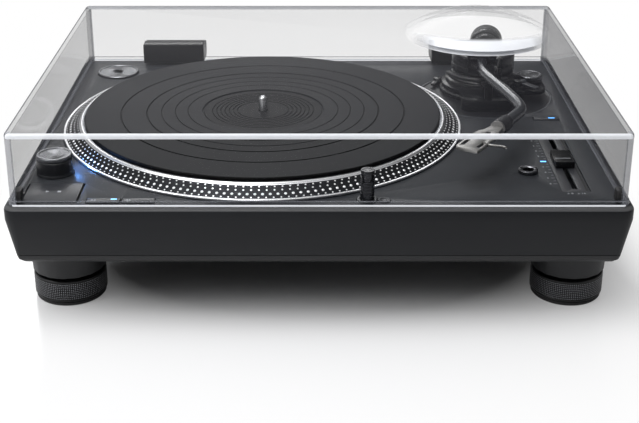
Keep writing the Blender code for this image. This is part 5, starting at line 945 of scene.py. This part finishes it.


# The dust cover: one moulding of clear acrylic, 3.5 mm thick, with rounded edges, a bead round its foot,
# notches for the hinges and a shallow dome that clears the arm's bearing. The light on its edges and in its
# dome is painted into its colour, alpha and emission.
crown, dome_radius, fillet = 20.5, 65.5, 5.5
bead_width = 0.0011
lid_corner = 0.0045
low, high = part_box("dust_cover")
low = low + Vector((bead_width, bead_width, 0))
high = high - Vector((bead_width, bead_width, crown * mm))
lid_mid = (low + high) / 2
half = (high - low) / 2
dome_at = Vector((origin.x - 0.007, origin.y - 0.007, high.z))
acrylic = Finish("clear_acrylic", (0.10, 0.105, 0.12), 0.05, IOR=1.49, Specular_IOR_Level=0.12,
                 Emission_Strength=0.55)
x, y, z = acrylic.local(Matrix.Translation(lid_mid))
beside, before_behind = abs(x), abs(y)
roof = z > half.z - 0.0036
at_side = (beside > half.x - 0.0037) * (z < half.z - 0.0034)
corner = (beside > half.x - 0.0048) * (before_behind > half.y - 0.0048)
front_edge = (z > half.z - 0.0042) * (before_behind > half.y - 0.0014)
long_edge = (z > half.z - 0.0034) * (beside > half.x - 0.0015)
foot_edge = (z < 0.0015 - half.z) * (before_behind > half.y + 0.0007)
bead_line = (z > 0.0034 - half.z) * (z < 0.0044 - half.z) * (before_behind > half.y - 0.0004)
side_foot = (z < 0.0022 - half.z) * (beside > half.x - 0.0040)

# A bright crescent on the dome's front skirt is a painted highlight, and a pale haze inside the dome, denser
# towards the back, is painted light.
out_x = x - (dome_at.x - lid_mid.x)
out_y = y - (dome_at.y - lid_mid.y)
dome = ((out_x * out_x + out_y * out_y) ** 0.5 < 0.0640) * roof
behind = out_y - 0.0065
inner = (out_x * out_x * 0.92 + behind * behind) ** 0.5
dome_painted_highlight = dome * abs(out_x).rise(0.062, -45.0) * inner.rise(0.0570, 250.0)
dome_painted_haze = dome * (inner < 0.0605) * (0.05 + out_y.rise(-0.045, 2.2) * 0.13)
# White and grey bands along the cover's edges, bead and corners, and their sum edges, are painted highlights
# for the light the acrylic's edges catch. They are laid over the acrylic's own faint tint.
painted_white_edges = front_edge.most((foot_edge * 1.15).most(dome_painted_highlight * 1.1))
painted_grey_edges = (long_edge * 0.75).most((corner * 0.55).most(side_foot * 0.75)).most(bead_line * 0.30)
edges = (painted_white_edges * 0.82).most(painted_grey_edges)
smear = acrylic.noise(7.0, 2.0, stretch=(1, 2, 1))
grazing = acrylic.node('ShaderNodeLayerWeight', {"Blend": 0.5}, output="Facing") ** 7.0
flat_roof = roof * (1.0 - dome)
# The side walls get more alpha over a dark tint, more towards the right: painted shade.
body = flat_roof * 0.055 + at_side * (0.25 + x * 0.45) + grazing * 0.45 + smear * 0.012 + 0.006
acrylic.feed("Alpha", (body + dome_painted_haze).most(edges))
tint_and_painted_light = acrylic.mix(painted_grey_edges > 0.01, (0.035, 0.035, 0.045), (0.26, 0.27, 0.30))
tint_and_painted_light = acrylic.mix(long_edge, tint_and_painted_light, (0.085, 0.085, 0.110))
tint_and_painted_light = acrylic.mix(dome_painted_haze * 8.0, tint_and_painted_light, (0.85, 0.86, 0.88))
acrylic.feed("Base Color", acrylic.mix(painted_white_edges, tint_and_painted_light, (0.80, 0.82, 0.86)))
acrylic.feed("Roughness", edges * 0.12 + smear * 0.03 + flat_roof * 0.35 + 0.02)
# The foot and front top edges glow white through Emission Color though no lamp is there: a painted glow.
acrylic.feed("Emission Color", acrylic.mix(foot_edge + front_edge * 0.25, (0, 0, 0), (0.92, 0.95, 1.0)))

lid_size = high - low
shell = slab(lid_size, at((lid_mid.x, lid_mid.y, low.z)), lid_corner, 5)
top_face = next(f for f in shell.faces if f.normal.z > 0.9)
bmesh.ops.bevel(shell, geom=list(top_face.edges), offset=0.0028, segments=5, profile=0.5, affect='EDGES',
                material=-1)
open_faces = [f for f in shell.faces if abs(f.normal.z) > 0.99 and f.calc_area() > 0.05]
bmesh.ops.delete(shell, geom=open_faces, context='FACES_ONLY')
ball = (dome_radius ** 2 + crown ** 2) / (2 * crown)
middle_z = crown - ball
fillet_at = math.sqrt((ball + fillet) ** 2 - (fillet - middle_z) ** 2)
meet = math.asin(fillet_at / (ball + fillet))
curve = []
for step in range(15):
    turn = meet * step / 14
    curve.append((ball * math.sin(turn), middle_z + ball * math.cos(turn)))
for step in range(1, 7):
    turn = meet * (1 - step / 6)
    curve.append((fillet_at - fillet * math.sin(turn), fillet - fillet * math.cos(turn)))
lathe(curve, Matrix.Translation(dome_at), 128, shell)
bmesh.ops.remove_doubles(shell, verts=shell.verts, dist=0.000005)
rims = [e for e in shell.edges if e.is_boundary and all(abs(v.co.z - high.z) < 0.0001 for v in e.verts)]
bmesh.ops.triangle_fill(shell, edges=rims, use_beauty=True)
bmesh.ops.recalc_face_normals(shell, faces=shell.faces)
crown_face = max(shell.faces, key=lambda f: f.calc_center_median().z)
if crown_face.normal.z < 0:
    bmesh.ops.reverse_faces(shell, faces=shell.faces)
bmesh.ops.solidify(shell, geom=shell.faces, thickness=0.0035)

hinge_low, hinge_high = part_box("hinge_left")
hinge_out = abs(hinge_low.x + hinge_high.x) / 2


def hinge_notches():
    """Two blocks that cut the openings for the hinges in the cover's back wall."""
    blocks = bmesh.new()
    for side in (-1, 1):
        slab((hinge_high.x - hinge_low.x + 0.0006, 0.009, 0.0220),
             at((side * hinge_out, high.y - 0.002, low.z - 0.0007)), bm=blocks)
    return blocks


piece("cover_shell", carve(shell, hinge_notches()), "cover", acrylic, "dust_cover")
bead = slab((lid_size.x + 2 * bead_width, lid_size.y + 2 * bead_width, 0.0042),
            at((lid_mid.x, lid_mid.y, low.z)), lid_corner + 0.001, 5)
bead_hole = slab((lid_size.x, lid_size.y, 0.02), at((lid_mid.x, lid_mid.y, low.z - 0.005)), lid_corner, 5)
piece("cover_bead", carve(bead, bead_hole, hinge_notches()), "cover", acrylic, edge=0.0003, angle=32)
pad_rubber = satin("pad_rubber", (0.010, 0.010, 0.011), 0.55)
pads = bmesh.new()
for side in (-1, 1):
    pad_at = (side * (half.x - 0.0059), low.y + 0.0081, low.z + 0.0016)
    slab((0.0048, 0.0090, 0.0085), at(pad_at), 0.0012, 3, pads)
piece("cover_pads", pads, "cover", pad_rubber, edge=0.0003)


# The hinges: two black moulded boxes clamped through the cover's back wall, whose friction barrels drop
# into blocks screwed to the plinth's rear edge.
hinge_black = satin("hinge_black", (0.0050, 0.0054, 0.0062), 0.33, Specular_IOR_Level=0.3)
for word in ("left", "right"):
    box, block = "hinge_" + word, "hinge_socket_" + word
    softened("hinge_box_" + word, box, "cover", hinge_black, 0.0003, 34)
    softened("hinge_block_" + word, block, "chassis", hinge_black, 0.0003, 34)


# The terminals: two moulded bays under the back edge, one with a pair of gilt signal sockets and an earth
# post, the other with a two-pin mains inlet.
def behind_face(node):
    """A place on the front face of a CAD solid, with its Z axis towards the back."""
    low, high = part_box(node)
    return at(((low.x + high.x) / 2, low.y, (low.z + high.z) / 2)) @ backward


softened("signal_bay", "phono_panel", "chassis", moulded, 0.0003, 34)
softened("mains_bay", "mains_inlet", "chassis", moulded, 0.0002, 34)
for word, colour in (("left", (0.55, 0.56, 0.58)), ("right", (0.30, 0.02, 0.02))):
    jack_place = behind_face("phono_jack_" + word)
    gilt = turned_metal("gilt_" + word, (0.75, 0.53, 0.22), 0.22, jack_place)
    jack = lathe([(2.1, 1.6), (2.1, 9.5), (3.8, 9.5), (4.1, 9.2), (4.1, 1.6), (6.0, 1.6), (6.5, 1.2),
                  (6.5, 0.0), (0, 0.0), (0, 1.6), (2.1, 1.6)], jack_place, 48)
    piece("signal_jack_" + word, jack, "chassis", gilt, "phono_jack_" + word)
    ring_plastic = satin("jack_ring_" + word, colour, 0.4)
    liner = lathe([(1.2, 1.7), (1.2, 8.8), (2.0, 8.8), (2.0, 1.7), (1.2, 1.7)], jack_place, 32)
    piece("jack_liner_" + word, liner, "chassis", ring_plastic)
earth_place = behind_face("ground_post")
nickel = turned_metal("nickel", (0.55, 0.55, 0.54), 0.26, earth_place)
earth = lathe([(0, 8.5), (3.6, 8.5), (4.0, 8.4), (4.5, 8.0), (4.5, 3.3), (4.0, 2.8), (2.0, 2.8), (2.0, 0.0),
               (0, 0.0)], earth_place)
knurl(earth, earth_place, 96, 4, 2, 0.93, 0.0044)
piece("earth_post", earth, "chassis", nickel, "ground_post", angle=28)


# Inside the case: the bearing, the coreless motor's coils and magnet, the driver board and the screened
# supply, seen only where the model is taken apart.
inside = {
    "bearing_housing": turned_metal("bearing_steel", (0.50, 0.51, 0.53), 0.3, spindle_place),
    "rotor_magnet": turned_metal("magnet_black", (0.030, 0.031, 0.034), 0.4, spindle_place, metallic=0.6),
    "motor_stator": turned_metal("coil_copper", (0.45, 0.19, 0.08), 0.35, spindle_place, pitch=0.0006),
    "power_supply": satin("supply_tin", (0.50, 0.51, 0.52), 0.32, Metallic=0.9),
    "circuit_board": satin("board_green", (0.015, 0.075, 0.032), 0.45),
}
for node, finish in inside.items():
    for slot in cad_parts[node].material_slots:
        slot.material = finish.material


# Under the tray: ten countersunk zinc screws hold it to the casting above.
# Each sits with its head flush in the tray's flat underside.
zinc = turned_metal("screw_zinc", (0.10, 0.10, 0.11), 0.35, at((0, 0, 0)))
tray_low = 0.046
upside_down = Matrix.Rotation(math.radians(180), 4, 'X')
screws = bmesh.new()
for across, back in ((-0.150, -0.158), (0.0, -0.158), (0.150, -0.158), (-0.150, 0.138), (0.0, 0.138),
                     (0.206, 0.0), (-0.206, 0.0), (-0.09, -0.02), (0.03, -0.02), (0.12, 0.02)):
    lathe([(0, 0.3), (1.2, 0.3), (1.4, 1.0), (2.6, 1.2), (3.4, 0.6), (3.4, -0.6), (0, -0.6)],
          at((across, back, tray_low)) @ upside_down, 24, screws)
piece("tray_screws", screws, "chassis", zinc)
